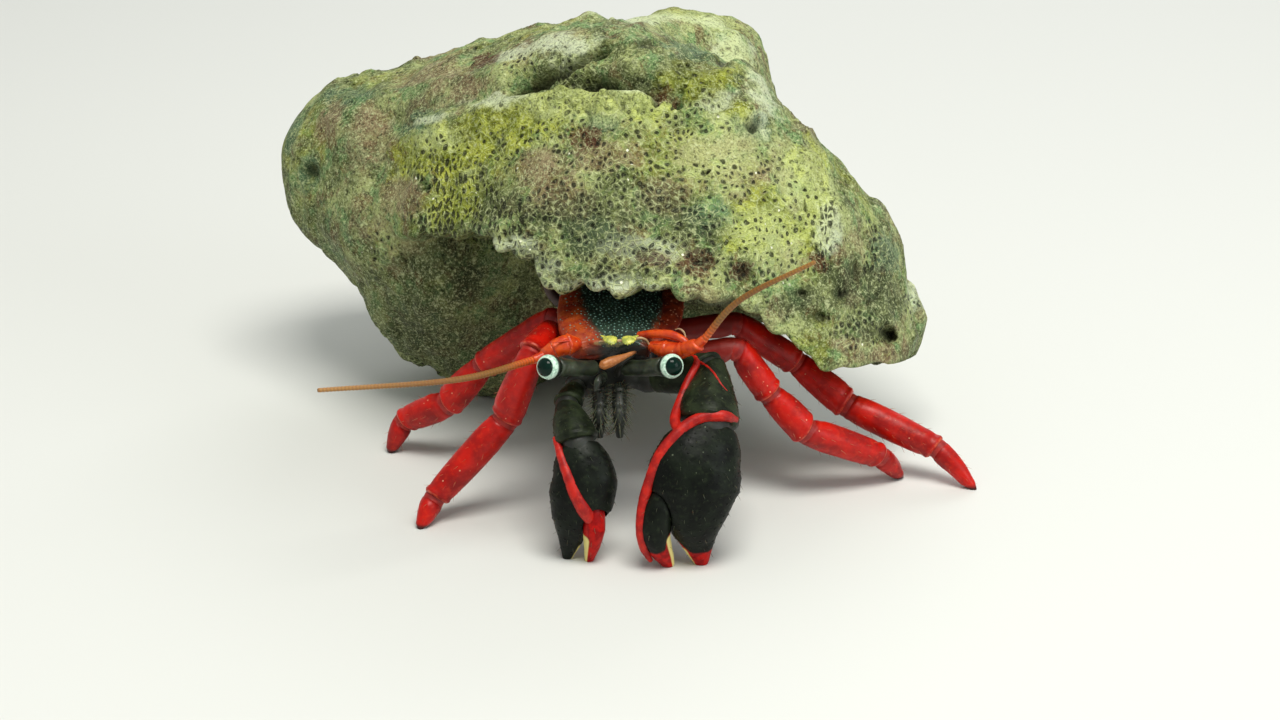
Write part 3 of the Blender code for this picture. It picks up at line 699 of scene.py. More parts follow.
# Holes and cracks: pixel, half width, half length, depth in mm, lean of the long side in degrees; their
# insides get painted shade
shellHoles = [
    (678, 100, 0.32, 0.75, 1.7, 80), (657, 102, 0.3, 0.7, 1.1, 70), (630, 82, 0.7, 2.2, 0.9, -12),
    (600, 78, 0.6, 1.6, 0.8, 8), (886, 335, 0.85, 0.75, 1.9, 0), (855, 268, 0.28, 1.2, 0.9, 70),
    (842, 292, 0.5, 0.8, 0.6, 20), (804, 208, 0.17, 0.2, 0.6, 0), (804, 190, 0.14, 0.2, 0.4, 0),
    (752, 128, 0.5, 0.7, 0.6, 20), (742, 272, 0.7, 0.8, 0.5, 0), (703, 262, 0.5, 1.0, 0.4, 0),
    (706, 170, 0.16, 0.45, 0.5, 110), (593, 112, 0.12, 0.7, 0.4, 60), (800, 292, 0.35, 0.5, 0.5, 0),
    (426, 185, 0.12, 0.7, 0.35, 110), (648, 45, 0.35, 0.8, 0.4, 10), (725, 62, 0.3, 0.8, 0.4, 130),
    (312, 172, 0.7, 0.8, 0.5, 60), (870, 300, 0.3, 0.9, 0.5, 40), (820, 318, 0.5, 0.9, 0.5, 0),
]
# Folds that stand out or sink, by two pixels, half width and height in mm
shellFolds = [
    (480, 118, 560, 92, 1.0, 0.6), (560, 92, 640, 96, 0.8, 0.85), (640, 98, 700, 120, 0.8, 0.8),
    (700, 120, 760, 112, 0.9, 0.5), (520, 80, 640, 82, 1.0, -1.35), (640, 80, 715, 100, 1.0, -1.2),
    (395, 145, 480, 118, 0.9, 0.5), (650, 22, 730, 40, 1.2, 0.35), (730, 40, 775, 110, 1.0, 0.35),
    (620, 55, 700, 52, 1.4, -0.45), (800, 150, 850, 215, 0.8, 0.3), (835, 215, 848, 300, 0.45, 0.4),
    (862, 225, 870, 290, 0.4, -0.35), (880, 235, 905, 285, 0.5, 0.3), (320, 110, 370, 160, 0.6, 0.3),
    (390, 95, 500, 70, 0.7, 0.3), (350, 80, 400, 130, 0.5, -0.25), (420, 110, 500, 95, 0.6, -0.25),
    (295, 115, 310, 200, 0.6, 0.25),
]
# The crevice along the seam of the last turn, by pixels; its inside gets painted shade
shellCrevice = [(516, 88), (530, 78), (545, 71), (570, 62), (590, 55), (606, 48)]


def patchReach(points, centre, wide, tall):
    # 0 at a patch's centre and 1 at its edge, on the picture's own axes
    away = points - centre
    deep = np.linalg.norm(away, axis=1) / (2.2 * max(wide, tall))
    return np.sqrt((away[:, 0] / wide) ** 2 + ((away @ viewUp) / tall) ** 2 + deep ** 2)


def shellMarks(points, solid):
    wobble = 0.5 * waves(points, 1.7, 5) + 0.3 * waves(points, 0.8, 6)
    marks = {}
    for name, patches in shellPatches.items():
        best = np.zeros(len(points))
        for across, down, wide, tall in patches:
            centre = onShell(solid, across, down)
            if centre is not None:
                reach = patchReach(points, centre, wide, tall) + 0.4 * wobble
                best = np.maximum(best, 1 - softStep(reach, 0.1, 1.9))
        marks[name] = best
    return marks


def nearLine(points, line):
    best = np.full(len(points), 99.0)
    for start, end in zip(line, line[1:]):
        way = end - start
        share = np.clip((points - start) @ way / max(float(way @ way), 1e-9), 0.0, 1.0)
        best = np.minimum(best, np.linalg.norm(points - start - share[:, None] * way, axis=1))
    return best


def lineOnShell(solid, pixels):
    spots = [onShell(solid, *pixel) for pixel in pixels]
    return [spot for spot in spots if spot is not None]


def foldHeight(points, solid):
    wobble = waves(points, 1.5, 91)
    total = np.zeros(len(points))
    for fold in shellFolds:
        first, last = np.array(fold[:2]), np.array(fold[2:4])
        half, height = fold[4:]
        line = lineOnShell(solid, [first + (last - first) * share for share in np.linspace(0.0, 1.0, 6)])
        if len(line) > 1:
            away = nearLine(points, line) + 0.3 * half * wobble
            total = total + bulge(away, height, 0.0, half)
    return np.clip(total, *shellForm["foldLimits"])


holeForm = {
    "wobble": (0.3, 0.6, 31),      # share, size in mm, seed
    "edge": (0.35, 1.1),
    "rim": (0.14, 1.35, 0.3),
    "far": 3.0,
    # depth in mm at which a hole is fully painted dark as shade
    "dark": 0.6,
    "creviceDepth": 1.2,
    "creviceEdge": (0.15, 0.55),
}


def holeDepth(points, solid):
    # how deep each point sinks, and how much of it is inside a hole or the crevice, where shade is painted
    share, size, seed = holeForm["wobble"]
    wobble = share * waves(points, size, seed)
    depth = np.zeros(len(points))
    inside = np.zeros(len(points))
    for across, down, wide, long, deep, lean in shellHoles:
        centre = onShell(solid, across, down)
        if centre is None:
            continue
        away = points - centre
        turn = math.radians(lean)
        side = away[:, 0] * math.cos(turn) + (away @ viewUp) * math.sin(turn)
        rise = -away[:, 0] * math.sin(turn) + (away @ viewUp) * math.cos(turn)
        reach = np.sqrt((side / long) ** 2 + (rise / wide) ** 2) + wobble
        far = holeForm["far"]
        reach = reach + far * (np.linalg.norm(away, axis=1) > far * max(wide, long))
        sunk = 1 - softStep(reach, *holeForm["edge"])
        depth = np.maximum(depth, deep * sunk) - bulge(reach, *holeForm["rim"]) * (depth < 0.05)
        inside = np.maximum(inside, sunk * min(1.0, deep / holeForm["dark"]))
    away = nearLine(points, curveThrough(lineOnShell(solid, shellCrevice), 8))
    sunk = 1 - softStep(away + 0.3 * wobble, *holeForm["creviceEdge"])
    return np.maximum(depth, holeForm["creviceDepth"] * sunk), np.maximum(inside, sunk)


# Relief of the crust in mm outwards
crustForm = {
    "bumpHeight": 0.34,
    "bumpSize": 3.2,
    "knobHeight": 0.22,
    "knobSize": 1.05,
    "knobReach": (0.1, 0.72),
    "knobsMissing": 0.4,
    "pitDepth": 0.17,
    "pitSize": 0.66,
    "pitReach": (0.15, 0.5),
    "pitsMissing": 0.2,
    "grainHeight": 0.05,
    "grainSize": 0.55,
    "smoothBumps": 0.3,
    "smoothRest": 0.85,
}


def crustRelief(points, smooth):
    bumps = crustForm["bumpHeight"] * roughness(points, crustForm["bumpSize"], 41, 3, 0.55)
    knob, label = nearestSeed(points, crustForm["knobSize"], 51)
    knobs = crustForm["knobHeight"] * (1 - softStep(knob, *crustForm["knobReach"]))
    knobs = knobs * (label > crustForm["knobsMissing"])
    pit, label = nearestSeed(points, crustForm["pitSize"], 61)
    pits = -crustForm["pitDepth"] * (1 - softStep(pit, *crustForm["pitReach"]))
    pits = pits * (label > crustForm["pitsMissing"])
    fine = crustForm["grainHeight"] * roughness(points, crustForm["grainSize"], 71, 2, 0.6)
    bare = 1 - crustForm["smoothRest"] * smooth
    return bumps * (1 - crustForm["smoothBumps"] * smooth) + (knobs + pits + fine) * bare


crustColours = {
    "base": (84, 94, 54),
    "pale": (164, 174, 114),
    "mint": (112, 146, 92),
    "grey": (104, 110, 80),
    "brown": (116, 92, 60),
    "film": (118, 126, 26),
    "filmBright": (176, 182, 70),
    "mauve": (156, 136, 106),
    "mauveDeep": (118, 92, 70),
    "teal": (80, 112, 86),
    "redBrown": (82, 32, 22),
    "crest": (216, 226, 194),
    # painted light, for the light patches
    "light": (206, 218, 146),
    # near-black: painted shade in the pits, holes and crevice, and also the crust's own dark grains
    "pit": (24, 26, 12),
    "rim": (208, 216, 164),
    # painted glints
    "sparkle": (240, 240, 216),
    # painted shade, for the shade patches and the faces that turn downwards
    "shade": (56, 64, 38),
    "bore": (60, 66, 54),
    "boreLight": (112, 108, 92),
}
# Sizes of the crust's patterns in mm
crustSizes = {
    "blotch": 2.8,
    "middle": 1.0,
    "fine": 0.32,
    "wide": 2.2,
    "grit": 0.14,
    "cell": 0.46,
    "streak": 0.34,
    "stretch": (1.0, 0.5, 0.42),    # shares that draw the streaks out
    "gap": 0.95,
    "bend": 0.8,
    "bendReach": 0.28,
    "spread": 4.5,
    "wall": 1.5,
    "drift": 7.0,
    "sparkle": 0.7,
    "relief": 0.2,
}
# Blotches over the base: size in mm, twist, where they come in, their most
crustBlotches = {
    "mint": (1.7, 0.0, 0.50, 0.60, 0.85),
    "brown": (2.1, 0.6, 0.53, 0.64, 0.8),
    "grey": (1.2, 0.3, 0.56, 0.66, 0.7),
}


def bentPlace(coat, sizeMm, shiftMm):
    wander = coat.add("ShaderNodeTexNoise")
    coat.feed(wander.inputs["Vector"], coat.place)
    wander.inputs["Scale"].default_value = 1.0 / (sizeMm * mm)
    small = coat.add("ShaderNodeVectorMath", operation="SCALE")
    coat.feed(small.inputs[0], wander.outputs["Color"])
    small.inputs["Scale"].default_value = shiftMm * mm
    bent = coat.add("ShaderNodeVectorMath", operation="ADD")
    coat.feed(bent.inputs[0], coat.place)
    coat.feed(bent.inputs[1], small.outputs[0])
    return bent.outputs[0]


def crustPits(coat, films, middle, ragged):
    # the pits, the rims between them, and how far each spot of the crust is pitted
    bent = bentPlace(coat, crustSizes["bend"], crustSizes["bendReach"])
    edges = coat.cells(crustSizes["cell"], "DISTANCE_TO_EDGE", 0.9, bent).outputs["Distance"]
    labels = coat.cells(crustSizes["cell"], "F1", 0.9, bent)
    longer = coat.add("ShaderNodeVectorMath", operation="MULTIPLY")
    coat.feed(longer.inputs[0], bent)
    longer.inputs[1].default_value = crustSizes["stretch"]
    streaks = coat.cells(crustSizes["streak"], "DISTANCE_TO_EDGE", 0.9, longer.outputs[0])
    smooth = coat.step(coat.plus(films["smooth"], coat.times(ragged, 0.35)), 0.4, 0.6)
    bare = coat.larger(smooth, films["inside"])
    pitted = coat.sum("SUBTRACT", 1.0, coat.times(bare, coat.step(middle, 0.66, 0.42, 0.55, 1.0)), True)
    spread = coat.plus(coat.noise(crustSizes["spread"], 3.0, 0.6), coat.times(ragged, 0.1))
    spread = coat.step(spread, 0.54, 0.64)
    porous = coat.step(coat.plus(films["porous"], coat.times(ragged, 0.3)), 0.25, 0.6)
    pitted = coat.times(pitted, coat.step(coat.larger(spread, porous), 0.0, 1.0, 0.12, 1.0))
    wall = coat.sway(coat.noise(crustSizes["wall"], 4.0, 0.6), 0.7)
    missing = coat.times(coat.above(labels.outputs["Color"], 0.66), 0.2)
    depth = coat.minus(coat.minus(edges, wall), missing)
    pit = coat.step(coat.minus(depth, coat.times(labels.outputs["Distance"], 0.5)), 0.04, 0.17)
    longPit = coat.step(coat.minus(streaks.outputs["Distance"], wall), 0.14, 0.28)
    stretched = coat.step(films["streak"], 0.35, 0.55)
    pit = coat.plus(coat.times(pit, coat.minus(1.0, stretched)), coat.times(longPit, stretched))
    gap = coat.specks(crustSizes["gap"], 0.45, 0.24, 0.12, bent)
    pit = coat.times(coat.larger(pit, gap), pitted)
    return pit, coat.times(coat.step(edges, 0.13, 0.02), pitted), pitted


def shellFinish():
    coat = Finish("shellCrust", 0.72)
    paint = {name: fromPhoto(*colour) for name, colour in crustColours.items()}
    films = {name: coat.mark(name) for name in (*shellPatches, "hole", "inside", "under")}
    blotch = coat.noise(crustSizes["blotch"], 5.0, 0.65)
    middle = coat.noise(crustSizes["middle"], 4.0, 0.65)
    fine = coat.noise(crustSizes["fine"], 4.0, 0.65)
    grit = coat.noise(crustSizes["grit"], 3.0, 0.6)
    ragged = coat.plus(coat.sway(middle, 1.5), coat.sway(fine, 0.9))
    wide = coat.plus(ragged, coat.sway(coat.noise(crustSizes["wide"], 3.0, 0.6), 1.6))
    pit, rim, pitted = crustPits(coat, films, middle, ragged)

    tone = coat.mix(coat.step(blotch, 0.40, 0.60), paint["base"], paint["pale"])
    for name, (size, twist, low, high, most) in crustBlotches.items():
        amount = coat.step(coat.noise(size, 5.0, 0.7, twist), low, high, 0.0, most)
        tone = coat.mix(amount, tone, paint[name])

    def over(under, name, colour, share, low=0.3, high=0.8):
        amount = coat.step(coat.plus(films[name], wide), low, high, 0.0, share)
        return coat.mix(amount, under, colour)

    greenish = coat.mix(coat.step(middle, 0.44, 0.62), paint["film"], paint["filmBright"])
    pinkish = coat.mix(coat.step(middle, 0.40, 0.60), paint["mauve"], paint["mauveDeep"])
    drift = coat.plus(coat.noise(crustSizes["drift"], 3.0, 0.6), coat.times(ragged, 0.12))
    tone = coat.mix(coat.step(drift, 0.52, 0.66, 0.0, 0.45), tone, greenish)
    tone = coat.mix(coat.step(drift, 0.46, 0.34, 0.0, 0.5), tone, pinkish)
    tone = over(tone, "teal", paint["teal"], 0.7)
    tone = over(tone, "mauve", pinkish, 0.72)
    tone = over(tone, "film", greenish, 0.85, 0.2, 0.75)
    tone = over(tone, "pale", paint["crest"], 0.7, 0.3, 1.0)
    # painted light: the light patches lightened
    light = coat.step(coat.plus(films["light"], coat.times(ragged, 0.4)), 0.15, 1.0, 0.0, 0.5)
    tone = coat.mix(light, tone, paint["light"])
    tone = over(tone, "redBrown", paint["redBrown"], 0.8, 0.45, 0.75)
    # painted shade: the shade patches, then the faces that turn downwards
    tone = over(tone, "shade", paint["shade"], 0.72, 0.2, 1.0)
    tone = coat.mix(coat.times(films["under"], 0.6), tone, paint["shade"])
    tone = coat.mix(coat.times(rim, 0.6), tone, paint["rim"], "SOFT_LIGHT")
    tone = coat.mix(coat.times(rim, coat.step(fine, 0.4, 0.62, 0.0, 0.5)), tone, paint["rim"])
    # painted shade: the pits painted near-black
    tone = coat.mix(coat.times(pit, 0.88), tone, paint["pit"])
    # light and dark grains where there are few pits
    grain = coat.minus(1.0, coat.times(pitted, 0.55))
    for pattern, low, high, most, name in (
            (fine, 0.55, 0.66, 0.6, "rim"), (fine, 0.45, 0.35, 0.65, "pit"),
            (grit, 0.54, 0.64, 0.55, "pit"), (grit, 0.46, 0.36, 0.45, "rim")):
        tone = coat.mix(coat.times(coat.step(pattern, low, high, 0.0, most), grain), tone, paint[name])
    # painted glints: small white spots where the crust is pitted
    sparkle = coat.step(coat.cells(crustSizes["sparkle"]).outputs["Distance"], 0.16, 0.10)
    bright = coat.times(sparkle, coat.above(coat.noise(1.5, 2.0), 0.6))
    tone = coat.mix(coat.times(bright, pitted), tone, paint["sparkle"])
    # painted shade: holes and the crevice painted near-black inside
    tone = coat.mix(coat.times(films["hole"], 0.85), tone, paint["pit"])
    coat.colour(coat.mix(films["inside"], tone, coat.mix(blotch, paint["bore"], paint["boreLight"])))
    height = coat.minus(coat.times(fine, coat.times(grain, 1.3)), pit)
    height = coat.plus(height, coat.times(grit, coat.times(grain, 0.5)))
    height = coat.plus(coat.plus(height, coat.times(rim, 0.3)), coat.times(middle, 0.8))
    coat.relief(height, crustSizes["relief"], 0.9)
    coat.rough(coat.step(coat.noise(1.3, 2.0), 0.3, 0.7, 0.5, 0.85))
    coat.gloss(0.2)
    return coat


def keepLargest(thing):
    work = bmesh.new()
    work.from_mesh(thing.data)
    bmesh.ops.remove_doubles(work, verts=work.verts, dist=1e-7)
    left = set(work.faces)
    groups = []
    while left:
        group = set()
        front = [next(iter(left))]
        while front:
            face = front.pop()
            if face not in group:
                group.add(face)
                for edge in face.edges:
                    front.extend(other for other in edge.link_faces if other not in group)
        left -= group
        groups.append(group)
    groups.sort(key=lambda group: sum(face.calc_area() for face in group), reverse=True)
    spare = [face for group in groups[1:] for face in group]
    if spare:
        bmesh.ops.delete(work, geom=spare, context="FACES")
    loose = [vert for vert in work.verts if not vert.link_faces]
    bmesh.ops.delete(work, geom=loose, context="VERTS")
    work.to_mesh(thing.data)
    work.free()


def cutOut(thing, cutter):
    cut = thing.modifiers.new("cut", "BOOLEAN")
    cut.operation = "DIFFERENCE"
    cut.solver = "EXACT"
    cut.object = cutter
    graph = bpy.context.evaluated_depsgraph_get()
    shaped = bpy.data.meshes.new_from_object(thing.evaluated_get(graph))
    thing.modifiers.remove(cut)
    thing.data = shaped
    bpy.data.objects.remove(cutter, do_unlink=True)
    keepLargest(thing)
    thing.data.shade_smooth()


def smoothSection(section, passes):
    for _ in range(passes):
        finer = []
        for place, spot in enumerate(section):
            after = section[(place + 1) % len(section)]
            finer.append((0.75 * spot[0] + 0.25 * after[0], 0.75 * spot[1] + 0.25 * after[1]))
            finer.append((0.25 * spot[0] + 0.75 * after[0], 0.25 * spot[1] + 0.75 * after[1]))
        section = finer
    return np.array(section)


def hollowGrid():
    section = smoothSection(shellForm["hollow"], 3)
    middle = section.mean(axis=0)
    start, end = np.radians(shellForm["hollowTurns"])
    turned = np.linspace(start, end, shellForm["hollowRings"])
    left = (np.arange(len(turned))[::-1]) * (start - end) / len(turned)
    shrink = np.sqrt(np.clip(1 - (1 - np.clip(left / 0.5, 0.0, 1.0)) ** 2, 0.1, 1.0))
    scale = shellForm["growth"] ** (turned / (2 * math.pi))
    along = (middle[0] + (section[None, :, 0] - middle[0]) * shrink[:, None]) * scale[:, None]
    out = (middle[1] + (section[None, :, 1] - middle[1]) * shrink[:, None]) * scale[:, None]
    return shellSpot(turned[:, None] * np.ones(len(section)), along, out)


def solidShell():
    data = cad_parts["shell"].data
    corners = [Vector(np.array(v.co) / mm - crabToFrame) for v in data.vertices]
    return BVHTree.FromPolygons(corners, [tuple(p.vertices) for p in data.polygons])


def crustGrid():
    # the crust's smooth form: rows along the axis, closer together near the lip, where the camera sees them
    first, second, power = shellForm["crowding"]
    share = np.linspace(0.0, 1.0, shellForm["sides"])
    backs = np.radians(shellForm["wrap"]) * (first * share + second * share ** power)
    share = np.linspace(0.0, 1.0, shellForm["rings"])
    alongs = shellForm["firstRow"] + (shellLength - shellForm["rowsShort"]) * share
    back, along = np.meshgrid(backs, alongs)
    radius = shellRadius(back, along)
    # near the tip the last turn runs into the first one with no step
    closing = 1 - softStep(along, *shellForm["closing"])
    step = shellRadius(0.0 * back, along) - shellRadius(np.full(back.shape, backs[-1]), along)
    radius = radius + closing * step * softStep(back, backs[-1] - shellForm["closingTurn"], backs[-1])
    edge = shellForm["edgeRound"]
    lack = np.clip(edge - back * radius, 0.0, None)
    radius = radius - (edge - np.sqrt(np.clip(edge ** 2 - lack ** 2, 0.0, None))) * (1 - closing)
    turned = seamTurn(along) - back
    outward = np.cos(turned)[..., None] * lipSide + np.sin(turned)[..., None] * growthSide
    return shellSpot(turned, along, radius), along.ravel(), outward.reshape(-1, 3)


def hollowCutter():
    hollow = hollowGrid()
    rough = grainy(0.10, 1.6, 81, 3)(hollow.reshape(-1, 3)).reshape(hollow.shape[:2])
    away = hollow - hollow.mean(axis=1)[:, None, :]
    hollow = hollow + away / np.linalg.norm(away, axis=2)[..., None] * rough[..., None]
    points, faces = closedTube(hollow)
    full = np.ones(len(points))
    return addPiece("hollowForm", points, faces, crustCoat, {"inside": full, "smooth": full})


def buildShell():
    solid = solidShell()
    grid, along, outward = crustGrid()
    spots = grid.reshape(-1, 3)
    marks = shellMarks(spots, solid)
    depth, inside = holeDepth(spots, solid)
    fade = softStep(along, *shellForm["bareTip"]) * softStep(shellLength - along, *shellForm["bareCanal"])
    rise = (crustRelief(spots, marks["smooth"]) + foldHeight(spots, solid)) * fade - depth
    spots = spots + outward * rise[:, None]
    spots[:, 2] = np.maximum(spots[:, 2], 0.0)
    print("shell crust shaped:", len(spots), "points")
    points, faces = closedTube(spots.reshape(grid.shape))
    for place, far in ((-2, 0.0), (-1, shellLength)):
        points[place] = shellSpot(np.array(0.0), np.array(far), np.array(0.0))
    points[:, 2] = np.maximum(points[:, 2], 0.0)
    # how far each point lies inside a hole or the crevice, for the painted shade there
    marks["hole"] = inside
    # how far each face turns downwards, for the painted shade beneath
    marks["under"] = softStep(-outward[:, 2], 0.0, 0.8)
    marks["inside"] = np.zeros(len(spots))
    ready = {key: np.concatenate([values, values[:1], values[-1:]]) for key, values in marks.items()}
    shell = addPiece("snailShell", points, faces, crustCoat, ready)
    cutOut(shell, hollowCutter())
    print("shell done:", len(shell.data.polygons), "faces")
    standFor(shell, "shell")


crustCoat = shellFinish()
buildShell()


# Finishes of the crab

# As the eye reads them in the photograph
crabColours = {
    "leg": (194, 20, 7),
    "legDeep": (142, 9, 6),
    "legLight": (216, 52, 22),
    "legSpeck": (238, 176, 140),
    "legRim": (216, 104, 70),
    "legRoot": (100, 6, 8),
    "legTip": (64, 14, 10),
    "clawSpeck": (140, 152, 124),
    "clawTip": (182, 18, 12),
    "clawTipDeep": (138, 8, 10),
    "clawEdge": (226, 212, 136),
    "cord": (188, 28, 16),
    "cordDeep": (148, 14, 12),
    "cordLight": (212, 74, 50),
    "feeler": (222, 82, 16),
    "feelerDeep": (186, 46, 12),
    "feelerSpeck": (246, 196, 150),
    "feelerRim": (150, 44, 20),
    "whipFoot": (226, 92, 22),
    "whip": (136, 92, 36),
    "whipEnd": (166, 120, 56),
    "whipRing": (92, 50, 22),
    "shield": (25, 40, 32),
    "shieldLight": (42, 62, 50),
    "shieldDot": (90, 122, 104),
    "shieldMargin": (170, 70, 22),
    "shieldMarginDeep": (142, 40, 16),
    # painted shade for the shield's underside
    "shieldUnder": (17, 18, 14),
    "shieldFront": (150, 142, 92),
    "scale": (212, 210, 92),
    "scaleDeep": (146, 156, 72),
    "eyeRing": (214, 240, 222),
    "eyeRingDeep": (150, 190, 168),
    "eyeBack": (26, 32, 26),
    "pupil": (4, 22, 18),
    "pupilLight": (8, 40, 31),
    "clubStem": (30, 30, 22),
    "club": (158, 92, 38),
    "clubLight": (200, 134, 74),
    "thorax": (30, 34, 27),
    "thoraxDeep": (16, 18, 15),
    "hip": (166, 34, 18),
    "hipDeep": (112, 14, 10),
}
# Plain skins and hairs: two tones and how rough
skinTones = {
    "jointSkin": ((178, 34, 20), (136, 16, 12), 0.5),
    "darkSkin": ((34, 38, 30), (20, 22, 18), 0.5),
    "softSkin": ((150, 112, 94), (104, 68, 56), 0.45),
    "rearSkin": ((74, 44, 36), (44, 26, 22), 0.45),
    "stalkSkin": ((52, 60, 42), (28, 34, 26), 0.4),
    "flapRed": ((164, 58, 24), (98, 20, 16), 0.45),
    "rimCream": ((196, 160, 118), (150, 120, 84), 0.4),
    "elbowCream": ((186, 158, 124), (150, 120, 88), 0.4),
    "redHair": ((196, 120, 84), (150, 60, 40), 0.5),
    "darkHair": ((92, 98, 74), (54, 58, 42), 0.5),
    "granuleBlue": ((128, 164, 150), (80, 118, 106), 0.4),
    "granuleRose": ((214, 150, 120), (170, 96, 70), 0.4),
}
# The two darks of the claws: two tones and their flecks
clawTones = {
    "clawDark": ((8, 11, 8), (21, 27, 19), (40, 48, 32)),
    "clawOlive": ((20, 25, 16), (42, 50, 32), (62, 70, 44)),
}


def tint(name):
    return fromPhoto(*crabColours[name])


def legFinish():
    red = Finish("legRed", 0.3)
    fromEnd = red.mark("fromEnd")
    fromStart = red.mark("fromStart")
    tone = red.mottled(1.6, 3.0, 0.35, 0.68, tint("leg"), tint("legDeep"))
    tone = red.mottled(0.35, 2.0, 0.5, 0.75, tone, tint("legLight"), 0.35)
    speck = red.specks(0.5, 0.62, 0.13, 0.08)
    tone = red.mix(red.times(speck, 0.7), tone, tint("legSpeck"))
    rim = red.times(red.step(fromEnd, 0.2, 0.1), red.step(red.noise(0.3, 2.0), 0.35, 0.6))
    tone = red.mix(red.times(rim, 0.5), tone, tint("legRim"))
    tone = red.mix(red.step(fromStart, 0.3, 0.05, 0.0, 0.4), tone, tint("legRoot"))
    tone = red.mix(red.mark("tip"), tone, tint("legTip"))
    red.colour(tone)
    height = red.plus(red.noise(0.22, 2.0), red.times(speck, 0.8))
    red.relief(height, 0.035, 0.6)
    red.rough(red.step(red.noise(0.8, 2.0), 0.3, 0.7, 0.32, 0.48))
    red.gloss(0.24)
    red.shader.inputs["Coat Weight"].default_value = 0.08
    red.shader.inputs["Coat Roughness"].default_value = 0.25
    red.flesh(0.05, 0.4)
    return red


def clawFinish(name):
    deep, light, flecks = (fromPhoto(*tone) for tone in clawTones[name])
    dark = Finish(name, 0.36)
    tip = dark.mark("tip")
    cutting = dark.mark("cutting")
    tone = dark.mottled(1.3, 3.0, 0.36, 0.66, deep, light)
    tone = dark.mottled(0.3, 3.0, 0.54, 0.72, tone, flecks, 0.5)
    speck = dark.specks(0.62, 0.55, 0.11, 0.06)
    tone = dark.mix(dark.times(speck, 0.4), tone, tint("clawSpeck"))
    ends = dark.plus(tip, dark.sway(dark.noise(0.6, 3.0), 0.5))
    reds = dark.mottled(0.5, 3.0, 0.4, 0.6, tint("clawTip"), tint("clawTipDeep"))
    tone = dark.mix(dark.step(ends, 0.35, 0.65), tone, reds)
    tone = dark.mix(dark.step(cutting, 0.35, 0.65), tone, tint("clawEdge"))
    dark.colour(tone)
    height = dark.plus(dark.noise(0.25, 3.0), dark.times(speck, 0.3))
    dark.relief(height, 0.03, 0.7)
    dark.rough(dark.step(dark.noise(0.7, 2.0), 0.3, 0.7, 0.34, 0.5))
    dark.gloss(0.13)
    return dark


def cordFinish():
    cord = Finish("cordRed", 0.46)
    tone = cord.mottled(0.7, 3.0, 0.38, 0.64, tint("cord"), tint("cordDeep"))
    cord.colour(cord.mottled(0.22, 3.0, 0.56, 0.72, tone, tint("cordLight"), 0.3))
    cord.gloss(0.3)
    cord.relief(cord.noise(0.2, 3.0), 0.04, 0.7)
    cord.flesh(0.08, 0.3)
    return cord


def skinFinish(name):
    light, deep, rough = skinTones[name]
    skin = Finish(name, rough)
    skin.colour(skin.mottled(0.7, 4.0, 0.35, 0.65, fromPhoto(*light), fromPhoto(*deep)))
    skin.relief(skin.noise(0.3, 3.0), 0.04, 0.6)
    skin.flesh(0.1, 0.5)
    return skin


def orangeFinish():
    orange = Finish("feelerOrange", 0.34)
    tone = orange.mottled(0.6, 3.0, 0.35, 0.66, tint("feeler"), tint("feelerDeep"))
    speck = orange.specks(0.34, 0.5, 0.16, 0.1)
    tone = orange.mix(orange.times(speck, 0.6), tone, tint("feelerSpeck"))
    rim = orange.step(orange.mark("fromEnd"), 0.08, 0.02)
    tone = orange.mix(orange.times(rim, 0.35), tone, tint("feelerRim"))
    orange.colour(tone)
    orange.relief(orange.noise(0.16, 3.0), 0.03, 0.6)
    orange.flesh(0.1, 0.4)
    return orange


def whipFinish():
    whip = Finish("whipOlive", 0.4)
    along = whip.mark("along")
    tone = whip.mix(whip.step(along, 0.0, 0.22), tint("whipFoot"), tint("whip"))
    tone = whip.mix(whip.step(along, 0.5, 1.0), tone, tint("whipEnd"))
    whip.colour(whip.mix(whip.times(whip.mark("ringed"), 0.4), tone, tint("whipRing")))
    whip.flesh(0.15, 0.3)
    return whip


redCoat = legFinish()
darkCoat = clawFinish("clawDark")
armCoat = clawFinish("clawOlive")
cordCoat = cordFinish()
orangeCoat = orangeFinish()
whipCoat = whipFinish()
jointSkin = skinFinish("jointSkin")
darkSkin = skinFinish("darkSkin")
softSkin = skinFinish("softSkin")
rearSkin = skinFinish("rearSkin")
stalkSkin = skinFinish("stalkSkin")
print("finishes ready")


# Walking legs

